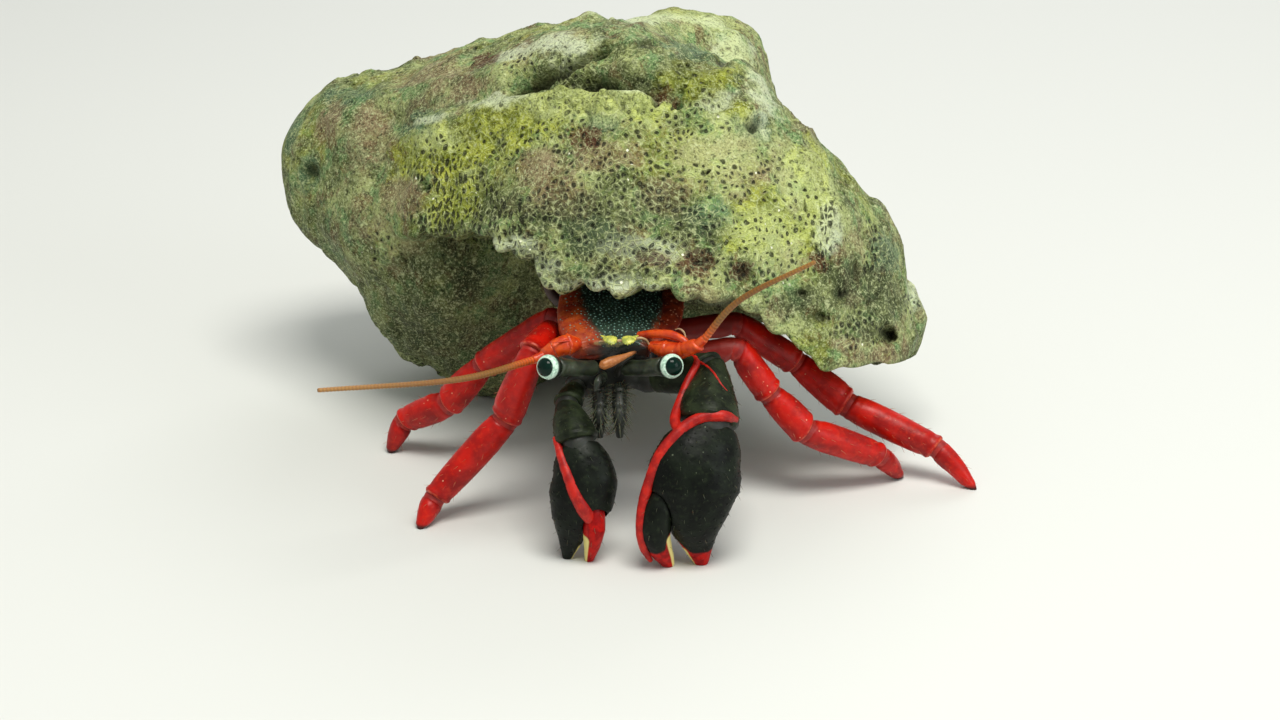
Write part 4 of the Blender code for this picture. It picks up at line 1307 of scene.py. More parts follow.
legForm = {
    "joints": {
        "leg_3_right": [(-4.0, 8.0, 10.2), (-5.76, 8.6, 11.1), (-10.48, 10.5, 7.03), (-12.92, 11.0, 4.13),
                        (-16.07, 12.5, 2.17), (-17.0, 12.19, 0.0)],
        "leg_2_right": [(-4.0, 5.4, 10.0), (-5.8, 6.0, 11.2), (-6.84, 2.4, 11.2), (-8.65, 2.6, 6.5),
                        (-13.26, 1.4, 1.48), (-14.05, 0.18, 0.0)],
        "leg_3_left": [(0.4, 8.0, 10.2), (6.3, 8.6, 10.8), (10.4, 10.5, 7.31), (13.88, 9.5, 4.62),
                       (19.78, 7.6, 2.26), (22.05, 6.16, 0.0)],
        "leg_2_left": [(0.4, 5.2, 9.8), (6.3, 5.0, 10.4), (8.45, 5.4, 7.14), (10.82, 5.0, 4.69),
                       (15.89, 7.0, 2.02), (17.37, 7.91, 0.0)],
    },
    "plates": ["merus", "carpus", "propodus", "dactyl"],
    "fractions": [0.0, 0.25, 0.55, 0.85, 1.0],
    "widths": {
        "merus": [0.82, 0.92, 0.94, 0.96, 0.98],
        "carpus": [0.84, 0.95, 1.04, 1.08, 1.02],
        "propodus": [0.92, 1.0, 0.98, 0.9, 0.84],
        "dactyl": [0.74, 0.72, 0.60, 0.42, 0.2],
    },
    "sides": 36,
    "rings": 72,
    "gap": 0.3,
    "skinReach": 0.55,
    "skinShare": 0.9,
    "rim": (0.045, 0.2, 0.13),        # height, place and width in mm, as in the next two
    "dent": (0.035, 0.55, 0.2),
    "startDent": (0.03, 0.45, 0.2),
    "ridge": (0.03, math.pi / 2, 0.35),
    "ridgeFade": (0.3, 1.0),
    "tip": (0.45, 0.12),
    "toeBend": 0.16,
    "wrinkle": (0.03, 0.2),
}


def pieceName(node):
    words = node.split("_")
    return words[0] + "".join(word.capitalize() for word in words[1:])


def legShape(place, total, angle):
    # a low rim near the far joint, a dent behind it, and a faint flat on the outer face
    back = total - place
    fade = legForm["ridgeFade"]
    dent = bulge(back, *legForm["dent"]) + bulge(place, *legForm["startDent"])
    ridge = bulge(angle, *legForm["ridge"]) * softStep(place, *fade) * softStep(back, *fade)
    return bulge(back, *legForm["rim"]) - dent + ridge


def skinTube(joint, before, after, width):
    # the soft skin across one joint, from inside the plate before to inside the plate after
    reach = legForm["skinReach"]
    path = [joint - before * reach, joint, joint + after * reach]
    form = sweep(path, [0.0, 0.5, 1.0], [width, width * 1.04, width], 20, 15)
    height, length = legForm["wrinkle"]
    wrinkle = 1 + height * np.cos(2 * math.pi * form["place"] / length)
    centre = form["grid"].mean(axis=1)[:, None, :]
    return closedTube(centre + (form["grid"] - centre) * wrinkle[:, None, None])


def joinParts(parts):
    points = []
    faces = []
    count = 0
    for partPoints, partFaces in parts:
        points.append(partPoints)
        faces.extend([[corner + count for corner in face] for face in partFaces])
        count += len(partPoints)
    return np.concatenate(points), faces


def buildLeg(leg, joints):
    joints = [np.array(joint, float) for joint in joints]
    ways = [unit(after - before) for before, after in zip(joints, joints[1:])]
    half = legForm["gap"] / 2
    skins = []
    before = legForm["widths"][legForm["plates"][0]][0]
    for number, plate in enumerate(legForm["plates"]):
        way = ways[number + 1]
        widths = legForm["widths"][plate]
        last = number + 1 == len(legForm["plates"])
        startCut = unit(way + ways[number])
        endCut = np.array([0.0, 0.0, -1.0]) if last else unit(way + ways[number + 2])
        start = joints[number + 1] + way * half / (way @ startCut)
        end = joints[number + 2]
        if last:
            path = [start, 0.5 * (start + end) + np.array([0.0, 0.0, legForm["toeBend"]]), end]
        else:
            end = end - way * half / (way @ endCut)
            path = [start, end]
        form = sweep(path, legForm["fractions"], widths, legForm["sides"], legForm["rings"],
                     startCut=startCut, endCut=endCut, shape=None if last else legShape)
        tip = 0.0 * form["place"]
        if last:
            tip = softStep(form["place"], *(form["total"] - short for short in legForm["tip"]))
        node = leg + "_" + plate
        piece = swept(pieceName(node), redCoat, form, {"tip": tip[:, None]}, grainy(0.014, 0.7, 7, 2))
        standFor(piece, node)
        width = legForm["skinShare"] * min(widths[0], before)
        skins.append(skinTube(joints[number + 1], ways[number], way, width))
        before = widths[-1]
    points, faces = joinParts(skins)
    skin = standFor(addPiece(pieceName(leg) + "JointSkin", points, faces, jointSkin))


for legName, legJoints in legForm["joints"].items():
    buildLeg(legName, legJoints)
print("walking legs done")


# Claws

clawForm = {
    "left": {
        "joints": [(0.6, 1.9, 9.6), (4.3, 0.6, 10.7), (4.27, -3.0, 8.5)],
        "palm": [(4.27, -3.0, 8.5), (3.4, -4.4, 5.9), (3.4, -5.2, 3.2), (3.8, -5.0, 0.0)],
        "finger": [(1.5, -5.1, 5.0), (0.95, -5.7, 2.6), (1.75, -5.2, 0.0)],
        "size": 1.0,
        "fingerTip": (0.6, 0.78),
        "edge": (0.35, 1.2),
    },
    "right": {
        "joints": [(-4.0, 1.6, 9.2), (-4.6, -0.6, 8.9), (-3.85, -3.0, 7.3)],
        "palm": [(-3.85, -3.0, 7.3), (-3.5, -4.0, 5.0), (-4.1, -4.4, 2.6), (-4.55, -4.2, 0.0)],
        "finger": [(-3.0, -4.5, 4.3), (-2.85, -4.9, 2.3), (-3.2, -4.5, 0.0)],
        "size": 0.72,
        "fingerTip": (-0.2, -0.1),
        "edge": (0.7, 1.6),
    },
    "gap": 0.3,
    "merus": [0.9, 1.05, 1.15, 1.2, 1.15],
    "carpus": [1.1, 1.4, 1.75, 1.95, 1.8],
    "palmFractions": [0.0, 0.12, 0.3, 0.45, 0.62, 0.8, 1.0],
    "palmWidths": [1.85, 2.45, 2.9, 2.85, 2.1, 1.15, 0.42],
    "palmDepth": 0.68,
    "fingerFractions": [0.0, 0.2, 0.45, 0.75, 1.0],
    "fingerWidths": [0.8, 1.02, 1.0, 0.72, 0.4],
    # red cords: pixels of the photograph, widths in mm, and how far each end dives
    "cords": {
        "left": [
            ([(690, 355), (697, 362), (688, 382), (680, 402), (675, 420), (680, 432)],
             [0.12, 0.24, 0.29, 0.3, 0.34, 0.33], (0.1, 0.1)),
            ([(736, 420), (724, 416), (704, 417), (688, 425), (674, 438), (660, 456), (650, 480), (643, 505),
              (641, 530), (644, 548), (651, 561)],
             [0.24, 0.35, 0.36, 0.4, 0.4, 0.37, 0.35, 0.34, 0.34, 0.3, 0.14], (0.3, 0.2)),
            ([(700, 362), (712, 371), (721, 384), (732, 398)], [0.1, 0.08, 0.07, 0.05], (0.1, 0.08)),
        ],
        "right": [
            ([(555, 437), (561, 455), (568, 475), (576, 496), (585, 511), (593, 524)],
             [0.17, 0.29, 0.35, 0.42, 0.46, 0.34], (0.1, 0.55)),
        ],
    },
    "cordSunk": 0.5,
    "search": (15, 121),           # mm round the target, and how many spots
    "shoulder": 0.9,
    "palmInner": (0.3, 1.1),
    "palmTip": (0.82, 0.93),
    "palmEdge": (0.8, 0.86),
    "fingerEdge": (0.45, 0.6),
    "fingerRoom": 0.12,
    "fingerPast": 0.8,
    "skins": (0.8, 0.95, 1.35),
}


def sidePart(form, middle, reach):
    # 1 on the side of a plate that faces that angle, 0 past the reach
    turn = form["angles"][None, :] - middle
    return 1 - softStep(np.abs((turn + math.pi) % (2 * math.pi) - math.pi), *reach)


def shareAlong(form):
    return form["place"][:, None] / form["total"] * np.ones(form["grid"].shape[:2])


def plainMarks(form):
    plain = np.zeros(form["grid"].shape[:2])
    return {"tip": plain, "cutting": plain}


def buildArmPlate(node, path, widths, sides, rings, **ends):
    form = sweep(path, legForm["fractions"], widths, sides, rings, shape=legShape, **ends)
    standFor(swept(pieceName(node), armCoat, form, plainMarks(form), grainy(0.03, 0.9, 9, 3)), node)


def buildClaw(side):
    claw = clawForm[side]
    size = claw["size"]
    lines = ([np.array(spot, float) for spot in claw[key]] for key in ("joints", "palm", "finger"))
    joints, palm, finger = lines
    merusWay = unit(joints[1] - joints[0])
    carpusWay = unit(joints[2] - joints[1])
    palmWay = unit(palm[1] - palm[0])
    knee = unit(merusWay + carpusWay)
    wrist = unit(carpusWay + palmWay)
    half = clawForm["gap"] / 2
    node = "claw_" + side
    down = np.array([0.0, 0.0, -1.0])
    across = (0, 1, 0)
    rough = grainy(0.03, 0.9, 9, 3)
    isLeft = side == "left"

    path = [joints[0] + merusWay * clawForm["gap"], joints[1] - merusWay * half / (merusWay @ knee)]
    buildArmPlate(node + "_merus", path, [width * size for width in clawForm["merus"]], 40, 50, endCut=knee)
    path = [joints[1] + carpusWay * half / (carpusWay @ knee),
            joints[2] - carpusWay * half / (carpusWay @ wrist)]
    buildArmPlate(node + "_carpus", path, [width * size for width in clawForm["carpus"]], 72, 90,
                  startCut=knee, endCut=wrist, shoulder=clawForm["shoulder"])

    widths = [width * size for width in clawForm["palmWidths"]]
    path = [joints[2] + palmWay * half / (palmWay @ wrist)] + palm[1:]
    form = sweep(path, clawForm["palmFractions"], widths, 96, 150, deep=clawForm["palmDepth"], side=across,
                 startCut=wrist, endCut=down, shoulder=clawForm["shoulder"])
    share = shareAlong(form)
    inner = sidePart(form, math.pi if isLeft else 0.0, clawForm["palmInner"])
    marks = {"tip": softStep(share + 0.1 * inner, *clawForm["palmTip"]) * (1.0 if isLeft else 0.0),
             "cutting": inner * softStep(share, *clawForm["palmEdge"])}
    hand = swept(pieceName(node + "_palm"), darkCoat, form, marks, rough)

    # room for the finger in the palm's edge
    widths = [width * size for width in clawForm["fingerWidths"]]
    room = clawForm["fingerRoom"]
    path = [finger[0] - unit(finger[1] - finger[0]) * room, finger[1],
            finger[-1] + unit(finger[-1] - finger[-2]) * clawForm["fingerPast"]]
    form = sweep(path, clawForm["fingerFractions"], [width + room for width in widths], 40, 50, side=across)
    cutOut(hand, swept("fingerRoom", darkCoat, form, plainMarks(form)))
    standFor(hand, node + "_palm")

    form = sweep(finger, clawForm["fingerFractions"], widths, 56, 90, side=across, endCut=down)
    share = shareAlong(form)
    inner = sidePart(form, 0.0 if isLeft else math.pi, claw["edge"])
    marks = {"tip": softStep(share + 0.2 * inner, *claw["fingerTip"]),
             "cutting": inner * softStep(share, *clawForm["fingerEdge"])}
    standFor(swept(pieceName(node + "_finger"), darkCoat, form, marks, rough), node + "_finger")
    buildCords(side)

    ways = [merusWay, merusWay, carpusWay, palmWay]
    skins = [skinTube(joints[number], ways[number], ways[number + 1], width * size)
             for number, width in enumerate(clawForm["skins"])]
    points, faces = joinParts(skins)
    standFor(addPiece(pieceName(node) + "JointSkin", points, faces, darkSkin))


def treeOf(*names):
    # the surfaces of some finished pieces, in mm in the crab's own lines
    points = []
    faces = []
    for name in names:
        mesh = made[name].data
        first = len(points)
        points.extend(Vector(np.array(v.co) / mm - crabToFrame) for v in mesh.vertices)
        faces.extend([corner + first for corner in p.vertices] for p in mesh.polygons)
    return BVHTree.FromPolygons(points, faces)


def onPieces(solid, across, down):
    way = photoRay(across, down)
    hit = solid.ray_cast(Vector(viewStart), Vector(way))[0]
    if hit is None:
        # just past an edge: the nearest spot of the surface to the line of sight
        around, count = clawForm["search"]
        reach = np.linspace(viewSetup["distance"] - around, viewSetup["distance"] + around, count)
        near = [solid.find_nearest(Vector(viewStart + way * r)) for r in reach]
        hit = min(near, key=lambda found: found[3])[0]
    return np.array(hit)


def buildCords(side):
    # raised red cords along the edges of the claw's plates
    title = "claw" + side.capitalize()
    solid = treeOf(title + "Merus", title + "Carpus", title + "Palm", title + "Finger")
    parts = []
    for pixels, widths, dives in clawForm["cords"][side]:
        reach = np.array([np.linalg.norm(onPieces(solid, *pixel) - viewStart) for pixel in pixels])
        # a cord bridges the hollows that it crosses
        for _ in range(3):
            reach[1:-1] = np.minimum(reach[1:-1], 0.5 * (reach[:-2] + reach[2:]))
        reach[0] += dives[0]
        reach[-1] += dives[1]
        path = [viewStart + photoRay(*pixel) * (far + width * clawForm["cordSunk"])
                for pixel, far, width in zip(pixels, reach, widths)]
        form = sweep(path, np.linspace(0.0, 1.0, len(widths)), widths, 20, 26 * len(pixels),
                     side=(0, 1, 0), shoulder=0.5)
        parts.append(closedTube(form["grid"]))
    points, faces = joinParts(parts)
    points = points + 0.012 * waves(points, 0.35, 5)[:, None]
    standFor(addPiece(title + "Cords", points, faces, cordCoat))


buildClaw("left")
buildClaw("right")
print("claws done")


# Head: shield, plates over the stalks, eyes, feelers and mouth limbs

headForm = {
    "midX": -1.9,
    "shield": [(1.45, 12.55, 2.5), (2.4, 12.9, 2.95), (4.0, 13.15, 3.3), (6.0, 13.45, 3.45), (8.0, 13.9, 3.3),
               (9.6, 14.3, 2.8)],
    "shieldThick": 1.45,
    "darkMiddle": -1.15,
    "darkHalf": ([1.2, 1.9, 3.0, 5.0, 8.0], [1.25, 1.5, 2.0, 2.5, 2.9]),
    "flap": [(0.5, 1.9, 12.0), (1.3, 3.4, 12.25), (1.8, 5.4, 12.45), (1.9, 9.0, 12.9)],
    "flapWidths": [0.3, 0.8, 1.0, 1.0],
    "eyes": {"left": (1.92, -1.4, 11.86), "right": (-5.64, -1.4, 11.8)},
    "stalkBases": {"left": (-0.95, 0.75, 10.85), "right": (-2.85, 0.75, 10.85)},
    "lean": {"left": 0.45, "right": -0.62},
    "look": (-0.93, 0.34),
    "eyeSides": 64,
    "eyeRows": 56,
    "stalkWidths": [0.5, 0.52, 0.6, 0.68],
    "stalkJoin": 0.52,
    "shieldRound": 0.22,
    "roundSteps": (0.04, 0.10, 0.16, 0.2, 0.22),
    "shieldSides": 72,
    "shieldRows": 60,
    "grooves": (1.35, 0.12, 0.16),       # mm from the middle, how they part, width
    "crossGroove": (5.4, 0.35, 0.2),     # mm back, how it bends, width
    "grooveDepth": 0.12,
}
# An eye along its look: place, radius, ring share, pupil share
eyeProfile = [
    (-0.62, 0.60, 0, 0), (-0.5, 0.68, 0, 0), (-0.3, 0.745, 0, 0), (-0.1, 0.775, 0, 0), (0.06, 0.78, 0.1, 0),
    (0.14, 0.775, 0.9, 0), (0.24, 0.75, 1, 0), (0.33, 0.71, 1, 0), (0.40, 0.66, 1, 0), (0.435, 0.605, 1, 0),
    (0.445, 0.575, 0.6, 0.5), (0.49, 0.555, 0, 1), (0.57, 0.50, 0, 1), (0.65, 0.41, 0, 1), (0.71, 0.30, 0, 1),
    (0.75, 0.17, 0, 1), (0.77, 0.06, 0, 1),
]


def shieldRing(back, bottom, top, half, sides):
    angles = 2 * math.pi * np.arange(sides) / sides
    middle = bottom + (top - bottom) * 0.42
    rise = np.sin(angles)
    height = np.where(rise >= 0, middle + (top - middle) * np.abs(rise) ** 0.75,
                      middle - (middle - bottom) * np.abs(rise) ** 0.35)
    return np.stack([headForm["midX"] + np.cos(angles) * half, np.full(sides, back), height], axis=-1)


def shieldFinish():
    coat = Finish("shieldTeal", 0.42)
    margin = coat.mark("margin")
    tone = coat.mottled(1.0, 3.0, 0.36, 0.66, tint("shield"), tint("shieldLight"))
    dots = coat.cells(0.3, "F1", 0.9)
    dotted = coat.step(dots.outputs["Distance"], 0.34, 0.2)
    tone = coat.mix(coat.times(dotted, 0.35), tone, tint("shieldDot"))
    edge = coat.plus(margin, coat.sway(coat.noise(0.4, 4.0, 0.65), 0.9))
    patches = coat.step(coat.noise(0.9, 3.0), 0.38, 0.62)
    orange = coat.mix(patches, tint("shieldMargin"), tint("shieldMarginDeep"))
    tone = coat.mix(coat.step(edge, 0.15, 0.95), tone, orange)
    # painted shade: the shield's underside goes near-black
    tone = coat.mix(coat.mark("underside"), tone, tint("shieldUnder"))
    pale = coat.step(coat.times(coat.mark("front"), coat.noise(0.4, 3.0)), 0.25, 0.4, 0.0, 0.55)
    tone = coat.mix(pale, tone, tint("shieldFront"))
    coat.colour(tone)
    height = coat.plus(coat.times(dotted, 0.8), coat.times(coat.noise(0.3, 2.0), 0.4))
    coat.relief(height, 0.06, 0.8)
    return coat


def buildShield():
    stations = headForm["shield"]
    thick = headForm["shieldThick"]
    sides = headForm["shieldSides"]
    round = headForm["shieldRound"]
    backs = np.linspace(stations[0][0], stations[-1][0], headForm["shieldRows"])
    tops, halves = (np.interp(backs, [s[0] for s in stations], [s[k] for s in stations]) for k in (1, 2))
    grid = [shieldRing(b, t - thick, t, h, sides) for b, t, h in zip(backs, tops, halves)]
    for edge in headForm["roundSteps"]:
        inset = round - math.sqrt(round ** 2 - edge ** 2)
        back, top, half = stations[0]
        grid.insert(0, shieldRing(back - edge, top - thick + inset, top - inset, half - inset, sides))
        back, top, half = stations[-1]
        grid.append(shieldRing(back + edge, top - thick + inset, top - inset, half - inset, sides))
    points, faces = closedTube(np.array(grid))
    side = np.abs(points[:, 0] - headForm["midX"])
    start, part, width = headForm["grooves"]
    groove = bulge(side - start - part * (points[:, 1] - 3), 1.0, 0.0, width)
    groove = groove * softStep(points[:, 1], 2.2, 3.2)
    start, bend, width = headForm["crossGroove"]
    cross = bulge(points[:, 1] - start + bend * side, 1.0, 0.0, width)
    top = softStep(points[:, 2], 12.2, 12.6)
    points[:, 2] -= headForm["grooveDepth"] * np.maximum(groove, 0.7 * cross) * top
    points[:, 2] += grainy(0.03, 0.8, 13, 3)(points) * top
    # the front edge runs out in two lobes, with a small point between them
    lobes = 1 - softStep(points[:, 1], 1.2, 1.9)
    points[:, 1] += lobes * (bulge(side, 0.22, 1.5, 0.35) - bulge(side, 0.12, 0.0, 0.4))
    away = np.abs(points[:, 0] - headForm["darkMiddle"]) - np.interp(points[:, 1], *headForm["darkHalf"])
    under = 1 - softStep(points[:, 2], 12.0, 12.35)
    marks = {
        "margin": softStep(away, -0.8, 0.8),
        "front": (1 - softStep(points[:, 1], 1.2, 1.4)) * softStep(points[:, 2], 12.0, 12.3),
        # painted shade: the lower face of the shield near the middle
        "underside": under * (1 - softStep(np.abs(points[:, 0] + 1.1), 1.3, 2.2)),
    }
    standFor(addPiece("shieldPlate", points, faces, shieldFinish(), marks), "shield")


def buildFlap():
    # the reddish side of the carapace that shows beside the shield under the lip
    form = sweep(headForm["flap"], [0.0, 0.3, 0.7, 1.0], headForm["flapWidths"], 32, 60, deep=0.4)
    flap = swept("shieldFlap", skinFinish("flapRed"), form, None, grainy(0.04, 0.7, 29, 3))
    standFor(flap)


scaleForm = {
    "middle": 0.62,                # mm beside the middle of the head, as the next two
    "root": (0.62, 1.0, 12.82),
    "tip": (0.36, 0.0, 12.76),
    "widths": [0.3, 0.47, 0.42, 0.22, 0.06],
    "wing": [(0.0, -0.25, 0.0), (0.28, -0.16, 0.07), (0.56, 0.05, 0.12)],
    "wingWidths": [0.2, 0.15, 0.03],
    # turn in radians, mm back from the tip, length
    "spines": [(0.75, 0.42, 0.34), (0.4, 0.2, 0.32), (0.0, 0.05, 0.3), (-0.5, 0.12, 0.24)],
    "spineWidths": [0.085, 0.015],
    "rim": [(-1.3, 1.0, 12.55), (-0.7, 0.9, 12.62), (0, 1.0, 12.6), (0.8, 0.86, 12.72), (1.25, 0.84, 12.84),
            (1.65, 0.82, 12.74), (1.86, 0.8, 12.42)],
    "rimWidths": [0.05, 0.1, 0.1, 0.1, 0.05],
}


def scaleFinish():
    yellow = Finish("scaleYellow", 0.4)
    patches = yellow.step(yellow.noise(0.35, 4.0, 0.65), 0.38, 0.62)
    yellow.colour(yellow.mix(patches, tint("scale"), tint("scaleDeep")))
    yellow.relief(yellow.noise(0.15, 3.0), 0.03, 0.6)
    return yellow


def buildOcularPlate():
    # two pointed scales over the stalk bases, each with a few small spines, on a narrow pale rim
    yellow = scaleFinish()
    middle = headForm["midX"] + scaleForm["middle"]
    parts = []
    for sign in (-1.0, 1.0):
        root, tip = (np.array([middle + sign * x, y, z]) for x, y, z in (scaleForm["root"], scaleForm["tip"]))
        path = [root, 0.5 * (root + tip) + np.array([sign * 0.08, 0.0, 0.08]), tip]
        form = sweep(path, [0.0, 0.3, 0.65, 0.9, 1.0], scaleForm["widths"], 28, 36, deep=0.42)
        parts.append(closedTube(form["grid"]))
        path = [root + (sign * x, y, z) for x, y, z in scaleForm["wing"]]
        form = sweep(path, [0.0, 0.5, 1.0], scaleForm["wingWidths"], 16, 20, deep=0.6)
        parts.append(closedTube(form["grid"]))
        for turn, back, reach in scaleForm["spines"]:
            way = np.array([sign * math.sin(turn), -math.cos(turn), -0.12])
            start = tip + np.array([sign * (0.12 + 0.42 * back), back + 0.06, 0.04])
            form = sweep([start, start + way * reach], [0.0, 1.0], scaleForm["spineWidths"], 8, 8)
            parts.append(closedTube(form["grid"]))
    path = [(middle + x, y, z) for x, y, z in scaleForm["rim"]]
    rim = sweep(path, [0.0, 0.25, 0.5, 0.75, 1.0], scaleForm["rimWidths"], 12, 70)
    standFor(swept("ocularRim", skinFinish("rimCream"), rim))
    points, faces = joinParts(parts)
    standFor(addPiece("ocularPlate", points, faces, yellow), "ocular_plate")


def eyeFinish():
    eye = Finish("eyeGlass", 0.08)
    pupil = eye.mark("pupil")
    ring = eye.mark("ring")
    pale = eye.mottled(0.16, 3.0, 0.4, 0.7, tint("eyeRing"), tint("eyeRingDeep"))
    tone = eye.mix(ring, tint("eyeBack"), pale)
    deep = eye.mix(eye.noise(0.3, 2.0), tint("pupil"), tint("pupilLight"))
    tone = eye.mix(pupil, tone, deep)
    eye.colour(tone)
    eye.gloss(0.16)
    return eye


def buildEyes():
    glass = eyeFinish()
    sides = headForm["eyeSides"]
    steps = np.linspace(0, len(eyeProfile) - 1, headForm["eyeRows"])
    table = np.array([np.interp(steps, range(len(eyeProfile)), column) for column in zip(*eyeProfile)]).T
    angles = 2 * math.pi * np.arange(sides) / sides
    for side, centre in headForm["eyes"].items():
        centre = np.array(centre)
        look = unit((headForm["lean"][side], *headForm["look"]))
        across = unit(np.cross(look, (0, 0, 1)))
        upward = np.cross(across, look)
        around = np.cos(angles)[:, None] * across + np.sin(angles)[:, None] * upward
        points, faces = closedTube(centre + table[:, None, 0:1] * look + table[:, None, 1:2] * around[None])
        marks = {}
        for key, column in (("ring", 2), ("pupil", 3)):
            values = table[:, column]
            marks[key] = np.concatenate([np.repeat(values, sides), values[:1], values[-1:]])
        standFor(addPiece("eye" + side.capitalize(), points, faces, glass, marks), "eye_" + side)
        base = np.array(headForm["stalkBases"][side])
        neck = centre - look * headForm["stalkJoin"]
        bend = 0.55 * base + 0.45 * neck + np.array([0, -0.15, 0.0])
        form = sweep([base, bend, neck], [0.0, 0.5, 0.85, 1.0], headForm["stalkWidths"], 40, 60, endCut=look)
        stalk = swept("eyestalk" + side.capitalize(), stalkSkin, form, None, grainy(0.02, 0.5, 21, 2))
        standFor(stalk, "eyestalk_" + side)


feelerForm = {
    "antenna_base_left": ([(0.6, 1.35, 12.1), (2.3, 0.3, 12.2), (3.7, -0.6, 13.0)], (0.5, -0.2, 0.8)),
    "antenna_base_right": ([(-3.7, 1.4, 12.3), (-5.0, 0.9, 12.25), (-6.2, 0.7, 11.6)], (-0.8, -0.5, 0.1)),
    "baseWidths": {"left": [0.3, 0.6, 0.5, 0.42], "right": [0.3, 0.68, 0.54, 0.42]},
    "whipWidths": [0.24, 0.13],
    "whipRings": 0.24,
    "rims": (0.34, 0.66),
    "scale": [(0.3, -0.4, 0.3), (1.0, -0.85, 0.48), (1.75, -1.3, 0.5)],
    "scaleWidths": [0.17, 0.15, 0.02],
    "linkWidths": [0.33, 0.27],
    "elbow": [(-0.1, 2.2, 12.45), (1.0, 1.35, 12.93), (2.0, 0.75, 13.08), (2.75, 0.25, 12.9),
              (3.0, 0.0, 12.5)],
    "elbowWidths": [0.28, 0.28, 0.28, 0.26, 0.2],
    "elbowRimWidths": [0.03, 0.07, 0.04],
    "elbowRim": [(2.2, 0.75, 13.45), (2.45, 0.6, 13.56), (2.74, 0.42, 13.4), (2.86, 0.3, 13.05)],
    "antennule_left": [(-1.5, 0.98, 10.3), (-1.2, 0.3, 11.3), (-0.3, -0.2, 12.28), (-1.2, -0.9, 12.2),
                       (-2.5, -1.5, 11.88)],
    "antennule_right": [(-2.3, 0.98, 10.3), (-2.3, 0.0, 10.45), (-2.5, -0.9, 10.9), (-2.8, -1.5, 10.2)],
    "antenna_left": [(3.85, -0.68, 13.2), (6.14, -1.5, 16.28), (10.54, -3.5, 19.48)],
    "antenna_right": [(-6.5, 0.5, 11.55), (-11.2, -4.2, 12.1), (-19.07, -9.0, 13.4)],
    "clubFractions": [0.0, 0.3, 0.42, 0.5, 0.64, 0.86, 0.96, 1.0],
    "clubWidths": [0.22, 0.18, 0.15, 0.1, 0.15, 0.33, 0.3, 0.12],
    "lowerFractions": [0.0, 0.5, 0.62, 0.8, 1.0],
    "lowerWidths": [0.24, 0.24, 0.15, 0.26, 0.08],
}


def ringed(rims, swell, groove):
    # a shape of short plates: a swelling before each rim (height, place, width) and a groove (height, width)
    def plates(place, total, angle):
        share = place / total
        height = 0.0
        for rim in rims:
            height = height + bulge(share - rim + swell[1], swell[0], 0.0, swell[2])
            height = height - bulge(share - rim, groove[0], 0.0, groove[1])
        return height

    return plates


def annuli(place, total, angle):
    return 0.012 * (1 - 0.5 * place / total) * np.cos(2 * math.pi * place / feelerForm["whipRings"])


def buildAntenna(side):
    path, cut = feelerForm["antenna_base_" + side]
    path = [np.array(spot) for spot in path]
    title = side.capitalize()
    form = sweep(path, [0.0, 0.3, 0.7, 1.0], feelerForm["baseWidths"][side], 40, 90, endCut=unit(cut),
                 shape=ringed((0.36, 0.68), (0.02, 0.04, 0.05), (0.04, 0.02)), shoulder=0.3)
    share = form["place"] / form["total"]
    near = np.minimum(*(np.abs(share - rim) for rim in feelerForm["rims"]))
    rims = np.minimum(near * form["total"], form["total"] - form["place"])
    base = swept("antennaBase" + title, orangeCoat, form, {"fromEnd": rims[:, None]},
                 grainy(0.015, 0.5, 23, 2))
    standFor(base, "antenna_base_" + side)
    out = 1.0 if side == "left" else -1.0
    scale = sweep([path[0] + np.array([out * x, y, z]) for x, y, z in feelerForm["scale"]], [0.0, 0.4, 1.0],
                  feelerForm["scaleWidths"], 14, 24, deep=0.6)
    standFor(swept("antennaScale" + title, orangeCoat, scale))

    whip = [np.array(spot) for spot in feelerForm["antenna_" + side]]
    form = sweep(whip, [0.0, 1.0], feelerForm["whipWidths"], 14, 420, shape=annuli)
    rings = 0.5 - 0.5 * np.cos(2 * math.pi * form["place"] / feelerForm["whipRings"])
    standFor(swept("antenna" + title, whipCoat, form, {"ringed": rings[:, None]}), "antenna_" + side)
    link = [path[-1] - 0.2 * unit(path[-1] - path[-2]), whip[0] + 0.3 * unit(whip[1] - whip[0])]
    link = sweep(link, [0.0, 1.0], feelerForm["linkWidths"], 18, 12)
    standFor(swept("antennaLink" + title, orangeCoat, link))


def buildElbow():
    # the bent lobe between the shield's corner and the foot of the left feeler, with a pale rim behind it
    form = sweep(feelerForm["elbow"], [0.0, 0.3, 0.6, 0.85, 1.0], feelerForm["elbowWidths"], 24, 60,
                 shoulder=0.4)
    elbow = swept("antennaElbow", orangeCoat, form, None, grainy(0.02, 0.4, 35, 2))
    standFor(elbow)
    form = sweep(feelerForm["elbowRim"], [0.0, 0.5, 1.0], feelerForm["elbowRimWidths"], 10, 30)
    standFor(swept("antennaElbowRim", skinFinish("elbowCream"), form))


def clubFinish():
    club = Finish("clubOrange", 0.42)
    along = club.mark("along")
    tone = club.mix(club.step(along, 0.5, 0.6), tint("clubStem"), tint("club"))
    spots = club.times(club.step(club.noise(0.2, 3.0), 0.45, 0.7, 0.0, 0.5), club.step(along, 0.52, 0.62))
    club.colour(club.mix(spots, tone, tint("clubLight")))
    club.relief(club.noise(0.1, 2.0), 0.03, 0.6)
    return club


def buildAntennules():
    form = sweep(feelerForm["antennule_left"], feelerForm["clubFractions"], feelerForm["clubWidths"], 28, 130)
    standFor(swept("antennuleLeft", clubFinish(), form), "antennule_left")
    form = sweep(feelerForm["antennule_right"], feelerForm["lowerFractions"], feelerForm["lowerWidths"],
                 24, 90)
    standFor(swept("antennuleRight", stalkSkin, form), "antennule_right")


